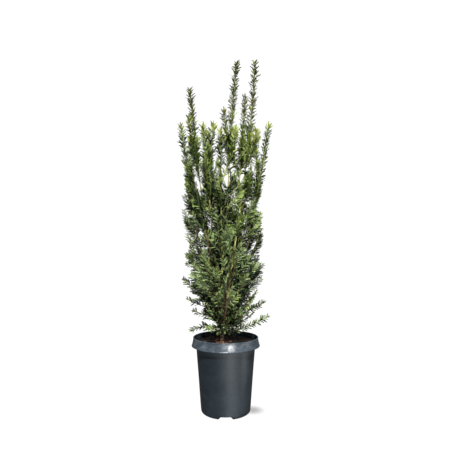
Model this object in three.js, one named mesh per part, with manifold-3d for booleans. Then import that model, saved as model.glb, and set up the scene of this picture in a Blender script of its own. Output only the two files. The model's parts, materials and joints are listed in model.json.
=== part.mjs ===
// A young upright hybrid yew with nine main stems, growing in a round nursery pot.
// Millimetres, +Z up, +X to the right and -Y towards someone who looks at its front.
// The origin is the middle of the pot's flat underside, which stands on the floor.
import * as THREE from "three";
import { mergeVertices } from "three/addons/utils/BufferGeometryUtils.js";
import Module from "manifold-3d";

const wasm = await Module();
wasm.setup();

const GAP = 0.3; // between pieces that touch
const UP = new THREE.Vector3(0, 0, 1);
const RIGHT = new THREE.Vector3(1, 0, 0);
const GOLDEN_ANGLE = THREE.MathUtils.degToRad(137.5);

// Pot: a tapered plastic container whose wall steps out into a broad collar.
const POT_HEIGHT = 200;
const POT_SEGMENTS = 40;
const WALL = 2;
const COLLAR = { topRadius: 90, footRadius: 95, height: 24, lip: 1 };
const BODY = { topRadius: 81.7, footRadius: 68.2 };
const FOOT_RING = { innerRadius: 58.5, outerRadius: 63.5, roundHeight: 8 };
const CHANNEL = { innerRadius: 37, outerRadius: 57, height: 8, slope: 3 };
const DRAIN_HOLES = { count: 6, radius: 5, circleRadius: 47, sides: 8 };
const FOOT_NOTCHES = { count: 3, topWidth: 26, footWidth: 40, height: 7.6 };

// Soil: fills the pot to a little below its rim.
const SOIL_TOP = POT_HEIGHT - 12;
const SOIL_EDGE_DROP = 3; // the soil's edge lies this much lower than its middle
const SOIL_FLAT_RADIUS = 24;

// Trunk: leans a little, flares at the soil, and runs on as the tall stem on the right.
const TRUNK_FOOT = new THREE.Vector3(-11, 0, SOIL_TOP + GAP);
const TRUNK_BENDS = [[12, -2, 400], [73, -22, 700]];
const TRUNK_TIP = [83, -25, 972];
const TRUNK_MORE = [[85, -62, 764]];
const TRUNK_RADII = { low: 3.9, high: 1.6, flare: 3.4, flareHeight: 10, lobes: 3, lobeDepth: 0.16 };

// Stems: each leaves the trunk at the named height, bows out and then rises to its tip, or
// leans over late. The further tips are those of the other tall shoots that its top carries.
const STEM_BOW = { lowOut: 0.38, lowUp: 0.2, highOut: 0.7, highUp: 0.56 };
const LATE_BOW = { lowOut: 0.05, lowUp: 0.3, highOut: 0.12, highUp: 0.62 };
const STEMS = [
  { name: "stem_far_left", from: 209, tip: [-127, -15, 793], more: [[-95, -58, 742]] },
  { name: "stem_right", from: 216, tip: [125, 10, 802], more: [[93, 78, 748]] },
  { name: "stem_front", from: 224, tip: [-14, -95, 754], more: [[27, -82, 764]] },
  { name: "stem_left", from: 235, tip: [-105, 20, 911], more: [[-104, -22, 814]] },
  { name: "stem_back_right", from: 243, tip: [60, 76, 912], more: [[57, 104, 800], [14, 104, 796]] },
  { name: "stem_front_left", from: 254, tip: [-61, -65, 778], more: [[-33, -46, 786]] },
  { name: "stem_back_left", from: 267, tip: [-54, 90, 806], more: [[-98, 64, 770]] },
  { name: "stem_middle", from: 286, tip: [33, 35, 999], more: [[-6, 24, 850]], bow: LATE_BOW },
];
const STEM_RADII = { low: 2.7, high: 1.4 };
const WOODY_SHARE = 0.6; // share of its height up to where a limb enters the mass at its top
const LIMB_RINGS = 9;
const LIMB_PIECES = 48;
const STEM_SIDES = 6;
const TRUNK_SIDES = 9;

// Shoots at the top of a limb: each tall one carries laterals in a spiral on its lower part,
// whose tips stay below the highest.
const TALL = { lowestRise: 100, perReach: 1.3, turnUp: 0.3 };
const LATERALS = {
  spacing: 34,
  first: 0.05,
  last: 0.6,
  longest: 92,
  shortest: 40,
  angle: 27,
  highest: 792,
};

// Side masses: they fill the crown between the limbs, up to where the stems stand apart.
const CROWN = { x: -8, radius: 110, edge: 2, lowest: 300, highest: 690, count: 27 };
const CROWN_FOOT = { full: 400, low: 215, less: 0.56, bend: 1.6 }; // it narrows below the full width
const INNER_EVERY = 5; // one side mass in this many fills the inside
const INNER_SHARE = 0.42;
const STEEPNESS = { low: 56, high: 72, leastRise: 100 };
const LOWEST_ROOT = 14; // above the foot of the limb that a shoot grows from
const SIDE_SHOOTS = { first: 0.22, last: 0.76 };
const SIDES_OF_SIDE = { count: 5, angle: 30, turnUp: 0.3, reach: 0.66, less: 0.4 };
const SIDES_OF_LOW = { count: 4, angle: 36, turnUp: 0.12, reach: 0.36, less: 0.24 };

// Low sprays: long shoots near the pot, each by its heading, reach, tip height and rise.
const LOW_FACING = new THREE.Vector3(0, -0.7, 0.7);
const LOW_SPRAYS = [
  { heading: 182, reach: 96, tip: 303, rise: 30 },
  { heading: 170, reach: 80, tip: 270, rise: 22 },
  { heading: 191, reach: 86, tip: 219, rise: -16 },
  { heading: 176, reach: 109, tip: 358, rise: 62 },
  { heading: 5, reach: 118, tip: 294, rise: 66 },
  { heading: -5, reach: 129, tip: 257, rise: 54 },
  { heading: 232, reach: 66, tip: 228, rise: 27 },
  { heading: -52, reach: 96, tip: 272, rise: 70 },
  { heading: 58, reach: 104, tip: 262, rise: 34 },
  { heading: 118, reach: 106, tip: 258, rise: 30 },
  { heading: 284, reach: 52, tip: 306, rise: 90 },
  { heading: 22, reach: 74, tip: 298, rise: 70 },
  { heading: 212, reach: 70, tip: 306, rise: 80 },
];

// A shoot is a slim three-sided core, each ring of it turned from the last, and from every
// section three needles stand out and forwards, so that it looks toothed from all sides.
const SHOOT_RADII = { main: 2, side: 1.7, tip: 1 };
const SHOOT_PIECES = 8;
const ROOT_PIECES = 3; // a shoot's first pieces, which may come close to what it grows from
const ROOM = { root: 1, limb: 2.5, shoot: 5 }; // clear space round a new shoot
const SECTION = 19;
const BARE_ROOT = 12;
const BUD = 6;
const NEEDLE = { length: 26, spread: 0.16, angle: 52, tipAngle: 30, radius: 1 };
const NEEDLE_CLEARS = [0.6, 2, 4, 8]; // tried in turn until a mass touches no other

// A small seeded generator, so that every run grows the same plant.
function seeded(seed) {
  let state = seed >>> 0;
  return () => {
    state = (Math.imul(state, 1664525) + 1013904223) >>> 0;
    return state / 4294967296;
  };
}

const vector = ([x, y, z]) => new THREE.Vector3(x, y, z);
const { degToRad, lerp, clamp } = THREE.MathUtils;

// A closed geometry as a solid.
function solidOf(geometry) {
  const bare = geometry.clone();
  bare.deleteAttribute("normal");
  bare.deleteAttribute("uv");
  const merged = mergeVertices(bare, 1e-4);
  return new wasm.Manifold(
    new wasm.Mesh({
      numProp: 3,
      vertProperties: new Float32Array(merged.attributes.position.array),
      triVerts: new Uint32Array(merged.index.array),
    }),
  );
}

// A solid as a geometry.
function geometryOf(solid) {
  const mesh = solid.getMesh();
  const positions = new Float32Array(mesh.numVert * 3);
  for (let i = 0; i < mesh.numVert; i++) {
    const start = i * mesh.numProp;
    positions.set(mesh.vertProperties.subarray(start, start + 3), i * 3);
  }
  const geometry = new THREE.BufferGeometry();
  geometry.setAttribute("position", new THREE.BufferAttribute(positions, 3));
  geometry.setIndex(new THREE.BufferAttribute(mesh.triVerts, 1));
  geometry.computeVertexNormals();
  return geometry;
}

function indexedGeometry(points, triangles) {
  const geometry = new THREE.BufferGeometry().setFromPoints(points);
  geometry.setIndex(triangles);
  return geometry;
}

// The largest body of a solid, so that no loose scrap stays.
function largestBody(solid) {
  return solid.decompose().reduce((a, b) => (b.volume() > a.volume() ? b : a));
}

function latheGeometry(profile, segments) {
  const points = profile.map(([radius, height]) => new THREE.Vector2(radius, height));
  return new THREE.LatheGeometry(points, segments).rotateX(Math.PI / 2);
}

// Pot
const COLLAR_FOOT_Z = POT_HEIGHT - COLLAR.height;
const COLLAR_LEAN = (COLLAR.footRadius - COLLAR.topRadius) / COLLAR.height;
const FLOOR_TOP = CHANNEL.height + WALL;

function bodyRadius(height) {
  const share = (height - FOOT_RING.roundHeight) / (COLLAR_FOOT_Z - FOOT_RING.roundHeight);
  return lerp(BODY.footRadius, BODY.topRadius, share);
}

function potProfile() {
  const ledgeTop = COLLAR_FOOT_Z + WALL;
  return [
    [0, 0],
    [CHANNEL.innerRadius - CHANNEL.slope, 0],
    [CHANNEL.innerRadius, CHANNEL.height],
    [CHANNEL.outerRadius, CHANNEL.height],
    [FOOT_RING.innerRadius, 0],
    [FOOT_RING.outerRadius, 0],
    [FOOT_RING.outerRadius + 3.2, 2.6],
    [BODY.footRadius, FOOT_RING.roundHeight],
    [BODY.topRadius, COLLAR_FOOT_Z],
    [COLLAR.footRadius, COLLAR_FOOT_Z],
    [COLLAR.topRadius, POT_HEIGHT - COLLAR.lip],
    [COLLAR.topRadius - COLLAR.lip, POT_HEIGHT],
    [COLLAR.topRadius - WALL, POT_HEIGHT - COLLAR.lip / 2],
    [COLLAR.footRadius - WALL - WALL * COLLAR_LEAN, ledgeTop],
    [BODY.topRadius - WALL, ledgeTop],
    [bodyRadius(FLOOR_TOP) - WALL, FLOOR_TOP],
    [0, FLOOR_TOP],
  ];
}

function footNotch(heading) {
  const { topWidth, footWidth, height } = FOOT_NOTCHES;
  const outline = new THREE.Shape([
    new THREE.Vector2(-footWidth / 2, -1),
    new THREE.Vector2(footWidth / 2, -1),
    new THREE.Vector2(topWidth / 2, height),
    new THREE.Vector2(-topWidth / 2, height),
  ]);
  const depth = BODY.footRadius - CHANNEL.outerRadius + 6;
  return new THREE.ExtrudeGeometry(outline, { depth, bevelEnabled: false })
    .rotateX(Math.PI / 2)
    .translate(0, -CHANNEL.outerRadius + 2, 0)
    .rotateZ(heading);
}

function drainHole(heading) {
  const { radius, circleRadius, sides } = DRAIN_HOLES;
  return new THREE.CylinderGeometry(radius, radius, 4 * WALL, sides)
    .rotateX(Math.PI / 2)
    .translate(0, -circleRadius, CHANNEL.height + WALL / 2)
    .rotateZ(heading);
}

function around(count, make) {
  return Array.from({ length: count }, (_, i) => make((i / count) * 2 * Math.PI));
}

function potSolid() {
  const cuts = [...around(FOOT_NOTCHES.count, footNotch), ...around(DRAIN_HOLES.count, drainHole)];
  return cuts.reduce(
    (pot, cut) => pot.subtract(solidOf(cut)),
    solidOf(latheGeometry(potProfile(), POT_SEGMENTS)),
  );
}

// Soil: its corners lie on every second line of the pot's facets, so its sides stay clear of them.
function soilSolid() {
  const ledge = COLLAR_FOOT_Z + WALL + GAP;
  const edgeTop = SOIL_TOP - SOIL_EDGE_DROP;
  const insideCollar = (height) =>
    COLLAR.footRadius - WALL - GAP - COLLAR_LEAN * (height - COLLAR_FOOT_Z);
  const profile = [
    [0, FLOOR_TOP + GAP],
    [bodyRadius(FLOOR_TOP) - WALL - GAP, FLOOR_TOP + GAP],
    [BODY.topRadius - WALL - GAP, ledge],
    [insideCollar(ledge), ledge],
    [insideCollar(edgeTop), edgeTop],
    [SOIL_FLAT_RADIUS, SOIL_TOP],
    [0, SOIL_TOP],
  ];
  return solidOf(latheGeometry(profile, POT_SEGMENTS / 2));
}

// Curves
// The stretch of a cubic curve between two of its parameters, as a curve of its own.
function stretchOf(curve, from, to) {
  const corner = (a, b, c) => {
    const first = [curve.v0.clone().lerp(curve.v1, a), curve.v1.clone().lerp(curve.v2, a)];
    first.push(curve.v2.clone().lerp(curve.v3, a));
    return first[0].lerp(first[1], b).lerp(first[1].lerp(first[2], b), c);
  };
  return new THREE.CubicBezierCurve3(
    corner(from, from, from),
    corner(from, from, to),
    corner(from, to, to),
    corner(to, to, to),
  );
}

// The parameter at which a rising curve reaches a height.
function parameterAtHeight(curve, height) {
  let low = 0;
  let high = 1;
  for (let i = 0; i < 30; i++) {
    const middle = (low + high) / 2;
    if (curve.getPoint(middle).z < height) low = middle;
    else high = middle;
  }
  return (low + high) / 2;
}

const pointAtHeight = (curve, height) => curve.getPoint(parameterAtHeight(curve, height));

// The shortest distance between two straight pieces.
function pieceGap(a, b, c, d) {
  const u = b.clone().sub(a);
  const v = d.clone().sub(c);
  const w = a.clone().sub(c);
  const uu = u.dot(u);
  const uv = u.dot(v);
  const vv = v.dot(v);
  const uw = u.dot(w);
  const vw = v.dot(w);
  const spread = uu * vv - uv * uv;
  let s = spread > 1e-9 ? clamp((uv * vw - vv * uw) / spread, 0, 1) : 0;
  const t = clamp((uv * s + vw) / vv, 0, 1);
  s = clamp((uv * t - uw) / uu, 0, 1);
  return w.addScaledVector(u, s).addScaledVector(v, -t).length();
}

// Straight pieces of the limbs, shoots and needles that are in place. Each has its thickness,
// the room that new shoots leave it, its node and the shoot that it belongs to.
const placed = [];

function place(line, radiusAt, room, node, shoot) {
  for (let i = 1; i < line.length; i++) {
    const radius = radiusAt(i / line.length);
    placed.push({ from: line[i - 1], to: line[i], radius, room, node, shoot });
  }
}

// Limbs: one tapering tube each.
function limbGeometry({ wood, radiusAt, sides }, grown) {
  const points = [];
  const triangles = [];
  for (let ring = 0; ring <= LIMB_RINGS; ring++) {
    const along = (ring / LIMB_RINGS) ** 1.5; // rings lie closer at the foot
    const centre = wood.getPointAt(along);
    const ahead = wood.getTangentAt(along);
    const across = RIGHT.clone().addScaledVector(ahead, -ahead.x).normalize();
    const beside = ahead.clone().cross(across);
    for (let side = 0; side < sides; side++) {
      const turn = (side / sides) * 2 * Math.PI;
      const radius = radiusAt(along, turn) + grown;
      const corner = centre.clone().addScaledVector(across, radius * Math.cos(turn));
      corner.addScaledVector(beside, radius * Math.sin(turn));
      if (ring === 0) corner.z = centre.z; // its foot is cut level
      points.push(corner);
    }
  }
  for (let low = 0; low < LIMB_RINGS * sides; low += sides) {
    for (let side = 0; side < sides; side++) {
      const next = (side + 1) % sides;
      const high = low + sides;
      triangles.push(low + side, low + next, high + next, low + side, high + next, high + side);
    }
  }
  const top = LIMB_RINGS * sides;
  for (let side = 1; side < sides - 1; side++) {
    triangles.push(0, side + 1, side, top, top + side, top + side + 1);
  }
  return indexedGeometry(points, triangles);
}

function trunkRadius(length) {
  return (along, turn = 0) => {
    const { low, high, flare, flareHeight, lobes, lobeDepth } = TRUNK_RADII;
    const flared = Math.exp((-along * length) / flareHeight);
    const lobe = 1 + lobeDepth * flared * Math.cos(lobes * turn);
    return (lerp(low, high, along ** 0.6) + flare * flared) * lobe;
  };
}

const stemRadius = () => (along) => lerp(STEM_RADII.low, STEM_RADII.high, along);

function trunkCurve() {
  const [low, high] = TRUNK_BENDS.map(vector);
  return new THREE.CubicBezierCurve3(TRUNK_FOOT, low, high, vector(TRUNK_TIP));
}

function stemCurve(foot, tip, bow) {
  const rise = tip.z - foot.z;
  const out = new THREE.Vector3(tip.x - foot.x, tip.y - foot.y, 0);
  const bend = (outShare, upShare) =>
    foot.clone().addScaledVector(out, outShare).addScaledVector(UP, rise * upShare);
  const low = bend(bow.lowOut, bow.lowUp);
  return new THREE.CubicBezierCurve3(foot, low, bend(bow.highOut, bow.highUp), tip);
}

// A limb holds its whole curve, the stretch that is wood, and the tips of its other tall shoots.
function makeLimb(name, curve, radiusOf, sides, tips, host) {
  const foot = curve.v0.z;
  const end = parameterAtHeight(curve, lerp(foot, curve.v3.z, WOODY_SHARE));
  const wood = stretchOf(curve, 0, end);
  const radiusAt = radiusOf(wood.getLength());
  return { name, curve, end, wood, radiusAt, sides, tips: tips.map(vector), host };
}

function makeLimbs() {
  const trunk = makeLimb("trunk", trunkCurve(), trunkRadius, TRUNK_SIDES, TRUNK_MORE, null);
  const stems = STEMS.map(({ name, from, tip, more, bow = STEM_BOW }) => {
    const curve = stemCurve(pointAtHeight(trunk.curve, from), vector(tip), bow);
    return makeLimb(name, curve, stemRadius, STEM_SIDES, more, trunk);
  });
  return [trunk, ...stems];
}

// A limb's solid, cut back from the limb that it rises from.
function limbSolid(limb) {
  const whole = solidOf(limbGeometry(limb, 0));
  if (!limb.host) return whole;
  return largestBody(whole.subtract(solidOf(limbGeometry(limb.host, GAP))));
}

// Shoots: each has its curve and the way that the plane of its side shoots faces.
function makeShoot(curve, facing, radius) {
  return { curve, facing, radius, line: curve.getPoints(SHOOT_PIECES) };
}

// A curve that leaves its root a little low and turns up towards its tip.
function risingCurve(root, tip, turnUp) {
  const way = tip.clone().sub(root);
  const third = way.length() * 0.35;
  way.normalize();
  const start = way.clone().addScaledVector(UP, -turnUp).setLength(third);
  const end = way.clone().addScaledVector(UP, 1.5 * turnUp).setLength(third);
  return new THREE.CubicBezierCurve3(root, start.add(root), tip.clone().sub(end), tip);
}

// A side shoot leaves its parent at an angle, towards the given side.
function sideShoot(parent, share, sideways, length, angle, turnUp) {
  const root = parent.curve.getPoint(share);
  const ahead = parent.curve.getTangent(share);
  const across = sideways.clone().addScaledVector(ahead, -sideways.dot(ahead)).normalize();
  const turn = degToRad(angle);
  const way = ahead.multiplyScalar(Math.cos(turn)).addScaledVector(across, Math.sin(turn));
  const tip = root.clone().addScaledVector(way, length);
  return makeShoot(risingCurve(root, tip, turnUp), parent.facing, SHOOT_RADII.side);
}

// The crown's radius at a height.
function crownRadius(z) {
  const { full, low, less, bend } = CROWN_FOOT;
  return CROWN.radius * (1 - less * clamp((full - z) / (full - low), 0, 1) ** bend);
}

function insideCrown({ x, y, z }) {
  return Math.hypot(x - CROWN.x, y) < crownRadius(z) + CROWN.edge && z > POT_HEIGHT + BUD;
}

// Whether a shoot stays clear of all that is placed. Near its root it may come close to what
// it grows from.
function hasRoom({ line, radius }, node, source) {
  return line.slice(1).every((to, i) => {
    const nearRoot = i < ROOT_PIECES;
    return placed.every((piece) => {
      if (nearRoot && (piece.node === source || piece.node === node)) return true;
      const room = nearRoot ? ROOM.root : piece.room;
      return pieceGap(line[i], to, piece.from, piece.to) > radius + piece.radius + room;
    });
  });
}

// A mass holds its shoots, of which the first grows out of its host.
function makeMass(name, host, shoots) {
  const mass = { name, host, shoots: [] };
  shoots.forEach((shoot) => putShoot(mass, shoot));
  return mass;
}

function putShoot(mass, shoot) {
  mass.shoots.push(shoot);
  place(shoot.line, () => shoot.radius, ROOM.shoot, mass.name, shoot);
}

function addShoot(mass, shoot) {
  if (shoot.line.every(insideCrown) && hasRoom(shoot, mass.name, mass.name)) putShoot(mass, shoot);
}

// The tall shoots at the top of a limb: its own, and the others that it carries.
function topMass(limb) {
  const start = limb.end + GAP / limb.curve.getLength();
  const own = makeShoot(stretchOf(limb.curve, start, 1), RIGHT, SHOOT_RADII.main);
  const others = limb.tips.map((tip) => {
    const beside = Math.hypot(tip.x - own.line[4].x, tip.y - own.line[4].y);
    const height = tip.z - TALL.lowestRise - TALL.perReach * beside;
    const root = pointAtHeight(own.curve, Math.max(own.line[0].z + BARE_ROOT, height));
    return makeShoot(risingCurve(root, tip, TALL.turnUp), RIGHT, SHOOT_RADII.main);
  });
  return makeMass(`top_of_${limb.name}`, null, [own, ...others]);
}

function addLaterals(mass, random) {
  for (const tall of [...mass.shoots]) {
    const { spacing, first, last, longest, shortest, angle, highest } = LATERALS;
    const count = Math.round(((last - first) * tall.curve.getLength()) / spacing);
    const spin = random() * 2 * Math.PI;
    for (let i = 0; i < count; i++) {
      const heading = spin + i * GOLDEN_ANGLE;
      const sideways = new THREE.Vector3(Math.cos(heading), Math.sin(heading), 0);
      const reach = lerp(longest, shortest, i / count) * (0.85 + 0.3 * random());
      const shoot = sideShoot(tall, lerp(first, last, i / count), sideways, reach, angle, 0.25);
      if (shoot.curve.v3.z < highest) addShoot(mass, shoot);
    }
  }
}

// Side shoots in turn to the left and right of a mass's first shoot.
function addSides(mass, { count, angle, turnUp, reach, less }, random) {
  const [main] = mass.shoots;
  const length = main.curve.getLength();
  for (let i = 0; i < count; i++) {
    const share = lerp(SIDE_SHOOTS.first, SIDE_SHOOTS.last, i / (count - 1));
    const across = main.curve.getTangent(share).cross(main.facing).normalize();
    if (i % 2) across.negate();
    const size = (reach - less * share) * length * (0.85 + 0.3 * random());
    addShoot(mass, sideShoot(main, share, across, size, angle, turnUp));
  }
}

// Small shifts of height and heading, from none to the largest.
const SHIFTS = [0, 1, -1, 2, -2, 3, -3].flatMap((turn) =>
  [0, 1, -1, 2, -2, 3, -3].map((rise) => ({ turn, rise })),
);
SHIFTS.sort((a, b) => Math.abs(a.turn) + Math.abs(a.rise) - Math.abs(b.turn) - Math.abs(b.rise));

// The mass of the first shoot with room. Each shift gives a tip, the least rise to it and how
// steep it is, and lifts the lowest root. The limbs are tried in turn from the nearest.
function massWithRoom(name, limbs, aim) {
  for (const shift of SHIFTS) {
    const { tip, leastRise, steepness, facing, turnUp } = aim(shift);
    const lift = LOWEST_ROOT * (1 + 0.5 * Math.abs(shift.rise));
    for (const { limb, root } of nearestLimbs(tip, limbs, leastRise, steepness, lift)) {
      const shoot = makeShoot(risingCurve(root, tip, turnUp), facing, SHOOT_RADII.main);
      if (hasRoom(shoot, name, limb.name)) return makeMass(name, limb, [shoot]);
    }
  }
  return null;
}

// The limbs from which a tip is reached by the shortest rising shoots.
function nearestLimbs(tip, limbs, leastRise, steepness, lift) {
  const ways = limbs.map((limb) => {
    const beside = pointAtHeight(limb.curve, tip.z - leastRise);
    const away = Math.hypot(tip.x - beside.x, tip.y - beside.y);
    const lowest = limb.curve.v0.z + lift;
    const height = clamp(tip.z - Math.max(leastRise, away * steepness), lowest, limb.wood.v3.z - BUD);
    const root = pointAtHeight(limb.curve, height);
    return { limb, root, length: tip.distanceTo(root) };
  });
  return ways.sort((a, b) => a.length - b.length);
}

// A low spray hangs or lies near the pot.
function lowSpray({ heading, reach, tip, rise }, index, limbs) {
  return massWithRoom(`low_spray_${index + 1}`, limbs, (shift) => {
    const turn = degToRad(heading + 4 * shift.turn);
    const end = new THREE.Vector3(
      TRUNK_FOOT.x + reach * Math.cos(turn),
      TRUNK_FOOT.y + reach * Math.sin(turn),
      tip,
    );
    const turnUp = rise > 20 ? 0.1 : -0.25;
    return { tip: end, leastRise: rise - 5 * shift.rise, steepness: 0, facing: LOW_FACING, turnUp };
  });
}

// A side mass reaches a point on the crown's surface, or inside it.
function sideMass(index, limbs, random) {
  const share = (index + 0.5) / CROWN.count;
  const inner = index % INNER_EVERY === INNER_EVERY - 1;
  const spread = inner ? INNER_SHARE : 0.92 + 0.08 * random();
  const steepness = Math.tan(degToRad(lerp(STEEPNESS.low, STEEPNESS.high, share)));
  return massWithRoom(`side_mass_${index + 1}`, limbs, (shift) => {
    const heading = index * GOLDEN_ANGLE + degToRad(5 * shift.turn);
    const height = lerp(CROWN.lowest, CROWN.highest, share) + 6 * shift.rise;
    const facing = new THREE.Vector3(Math.cos(heading), Math.sin(heading), 0);
    const tip = new THREE.Vector3(CROWN.x, 0, height);
    tip.addScaledVector(facing, crownRadius(height) * spread);
    const { leastRise } = STEEPNESS;
    return { tip, leastRise, steepness, facing, turnUp: 0.22 };
  });
}

// The rings of a shoot's core, each turned a sixth of the way round from the last.
function shootRings({ curve, facing, radius }) {
  const length = curve.getLength();
  const needled = length - BARE_ROOT - BUD;
  const count = Math.max(1, Math.round(needled / SECTION));
  return Array.from({ length: count + 2 }, (_, i) => {
    const along = i === 0 ? 0 : (BARE_ROOT + ((i - 1) / count) * needled) / length;
    const ahead = curve.getTangentAt(along);
    const top = facing.clone().addScaledVector(ahead, -facing.dot(ahead)).normalize();
    const beside = ahead.clone().cross(top);
    const size = lerp(radius, SHOOT_RADII.tip, along);
    const outAt = (sixths) => {
      const angle = (sixths * Math.PI) / 3;
      const out = top.clone().multiplyScalar(Math.cos(angle));
      return out.addScaledVector(beside, Math.sin(angle));
    };
    const centre = curve.getPointAt(along);
    const corners = [0, 1, 2].map((k) => centre.clone().addScaledVector(outAt(i + 2 * k), size));
    const outs = [0, 1, 2].map((k) => outAt(i + 1 + 2 * k));
    return { corners, outs, ahead, along };
  });
}

// The tip of a needle, or nothing where its edges would come too near another shoot or limb.
function needleTip(foot, { outs, ahead, along }, side, shoot, clear, random) {
  const angle = degToRad(lerp(NEEDLE.angle, NEEDLE.tipAngle, along ** 6) + 8 * (random() - 0.5));
  const length = NEEDLE.length * (1 + NEEDLE.spread * (2 * random() - 1));
  const middle = foot[0].clone().add(foot[1]).divideScalar(2);
  const tip = middle.clone().lerp(foot[2], 1 / 3).addScaledVector(ahead, length * Math.cos(angle));
  tip.addScaledVector(outs[side], length * Math.sin(angle));
  const edges = [middle, foot[2], middle.clone().lerp(foot[2], 0.5)];
  const hits = (piece) =>
    piece.shoot !== shoot &&
    edges.some(
      (from) => pieceGap(from, tip, piece.from, piece.to) < NEEDLE.radius + piece.radius + clear,
    );
  if (tip.z < POT_HEIGHT + 2 || placed.some(hits)) return null;
  edges.forEach((from) => place([from, tip], () => NEEDLE.radius, 0, "", shoot));
  return tip;
}

// One shoot as a closed geometry. Each needle stands on a triangle that narrows forwards.
function shootGeometry(shoot, clear, random) {
  const rings = shootRings(shoot);
  const points = rings.flatMap((ring) => ring.corners);
  const triangles = [0, 2, 1];
  for (let i = 0; i + 1 < rings.length; i++) {
    for (let side = 0; side < 3; side++) {
      const next = (side + 1) % 3;
      const [a, b, c, d] = [3 * i + side, 3 * i + next, 3 * i + 3 + next, 3 * i + 3 + side];
      const foot = [points[a], points[b], points[d]];
      const tip = i > 0 ? needleTip(foot, rings[i], side, shoot, clear, random) : null;
      triangles.push(b, c, d);
      if (tip) {
        const apex = points.push(tip) - 1;
        triangles.push(a, b, apex, b, d, apex, d, a, apex);
      } else {
        triangles.push(a, b, d);
      }
    }
  }
  const last = 3 * (rings.length - 1);
  const bud = points.push(shoot.curve.v3) - 1;
  [0, 1, 2].forEach((side) => triangles.push(last + side, last + ((side + 1) % 3), bud));
  return indexedGeometry(points, triangles);
}

// A mass as one solid: its shoots fused, and cut back from the limb that carries it.
function massSolid({ host, shoots }, clear, random) {
  const solids = shoots.map((shoot) => solidOf(shootGeometry(shoot, clear, random)));
  const fused = wasm.Manifold.union(solids);
  return largestBody(host ? fused.subtract(solidOf(limbGeometry(host, GAP))) : fused);
}

// A mass with as many needles as leave it clear of all the solids before it.
function clearMassSolid(mass, seed, others) {
  const already = placed.length;
  for (const clear of NEEDLE_CLEARS) {
    placed.length = already;
    const solid = massSolid(mass, clear, seeded(seed));
    if (others.every((other) => solid.intersect(other).isEmpty())) return solid;
  }
  throw new Error(`${mass.name} touches another piece`);
}

// Assembly
const finish = (color, roughness) => new THREE.MeshStandardMaterial({ color, roughness });
const potFinish = finish(0x3c464b, 0.45);
const soilFinish = finish(0x2a1c14, 0.95);
const barkFinish = finish(0x7a5a45, 0.85);
const needleFinish = finish(0x4a5f2e, 0.5);
const tree = new THREE.Group();

const solids = [];

function addNode(name, solid, material) {
  solids.push(solid);
  const mesh = new THREE.Mesh(geometryOf(solid), material.clone());
  mesh.name = name;
  tree.add(mesh);
}

addNode("pot", potSolid(), potFinish);
addNode("soil", soilSolid(), soilFinish);

const limbs = makeLimbs();
for (const limb of limbs) {
  const line = limb.wood.getPoints(LIMB_PIECES).slice(limb.host ? 1 : 0); // from outside its host
  place(line, limb.radiusAt, ROOM.limb, limb.name, null);
  addNode(limb.name, limbSolid(limb), barkFinish);
}

const randoms = Array.from({ length: 60 }, (_, i) => seeded(101 + 37 * i));
const tops = limbs.map(topMass);
const lows = LOW_SPRAYS.map((spray, i) => lowSpray(spray, i, limbs)).filter(Boolean);
const sides = Array.from({ length: CROWN.count }, (_, i) =>
  sideMass(i, limbs, randoms[30 + i]),
).filter(Boolean);
tops.forEach((mass, i) => addLaterals(mass, randoms[i]));
lows.forEach((mass, i) => addSides(mass, SIDES_OF_LOW, randoms[12 + i]));
sides.forEach((mass, i) => addSides(mass, SIDES_OF_SIDE, randoms[30 + i]));
for (const [i, mass] of [...tops, ...lows, ...sides].entries()) {
  addNode(mass.name, clearMassSolid(mass, 900 + i, solids), needleFinish);
}

export default tree;
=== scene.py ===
"""A young upright hybrid yew with nine main stems, in a round nursery pot.

The plant grows by the same seeded rule as its solids, in millimetres, and is carried on to
finer twigs and single needles. Meshes are made in metres.
"""
import json
import math
from collections import namedtuple

import bpy
import numpy as np
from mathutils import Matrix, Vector, noise

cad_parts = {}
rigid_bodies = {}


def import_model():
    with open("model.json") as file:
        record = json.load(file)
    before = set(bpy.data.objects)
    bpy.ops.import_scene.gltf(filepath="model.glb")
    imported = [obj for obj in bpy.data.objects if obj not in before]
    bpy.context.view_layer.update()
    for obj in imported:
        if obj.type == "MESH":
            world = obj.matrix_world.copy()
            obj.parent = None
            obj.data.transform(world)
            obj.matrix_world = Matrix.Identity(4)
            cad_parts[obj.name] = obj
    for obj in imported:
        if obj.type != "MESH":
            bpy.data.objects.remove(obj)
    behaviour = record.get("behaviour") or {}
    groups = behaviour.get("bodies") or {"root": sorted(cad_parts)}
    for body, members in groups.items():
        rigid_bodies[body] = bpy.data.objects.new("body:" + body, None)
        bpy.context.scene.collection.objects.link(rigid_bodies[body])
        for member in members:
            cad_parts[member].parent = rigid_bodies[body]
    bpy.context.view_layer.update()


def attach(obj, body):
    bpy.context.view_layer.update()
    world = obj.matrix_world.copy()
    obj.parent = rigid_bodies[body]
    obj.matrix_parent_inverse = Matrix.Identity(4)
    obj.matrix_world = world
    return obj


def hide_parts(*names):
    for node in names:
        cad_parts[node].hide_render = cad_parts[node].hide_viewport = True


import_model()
METRES = 0.001

# Pot
POT_HEIGHT = 200.0
POT_SEGMENTS = 288
WALL = 2.0
COLLAR = {"top": 90.0, "foot": 95.0, "height": 24.0}
BODY = {"top": 81.7, "foot": 68.2}
FOOT_RING = {"inner": 58.5, "outer": 63.5, "round": 8.0}
CHANNEL = {"inner": 37.0, "outer": 57.0, "height": 8.0, "slope": 3.0}
DRAIN_HOLES = {"count": 6, "radius": 5.0, "circle": 47.0, "sides": 24}
FOOT_NOTCHES = {"count": 3, "top": 26.0, "foot": 40.0, "height": 7.6, "radius": 66}
SOIL_TOP = POT_HEIGHT - 12
SOIL_EDGE_DROP = 3.0

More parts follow.
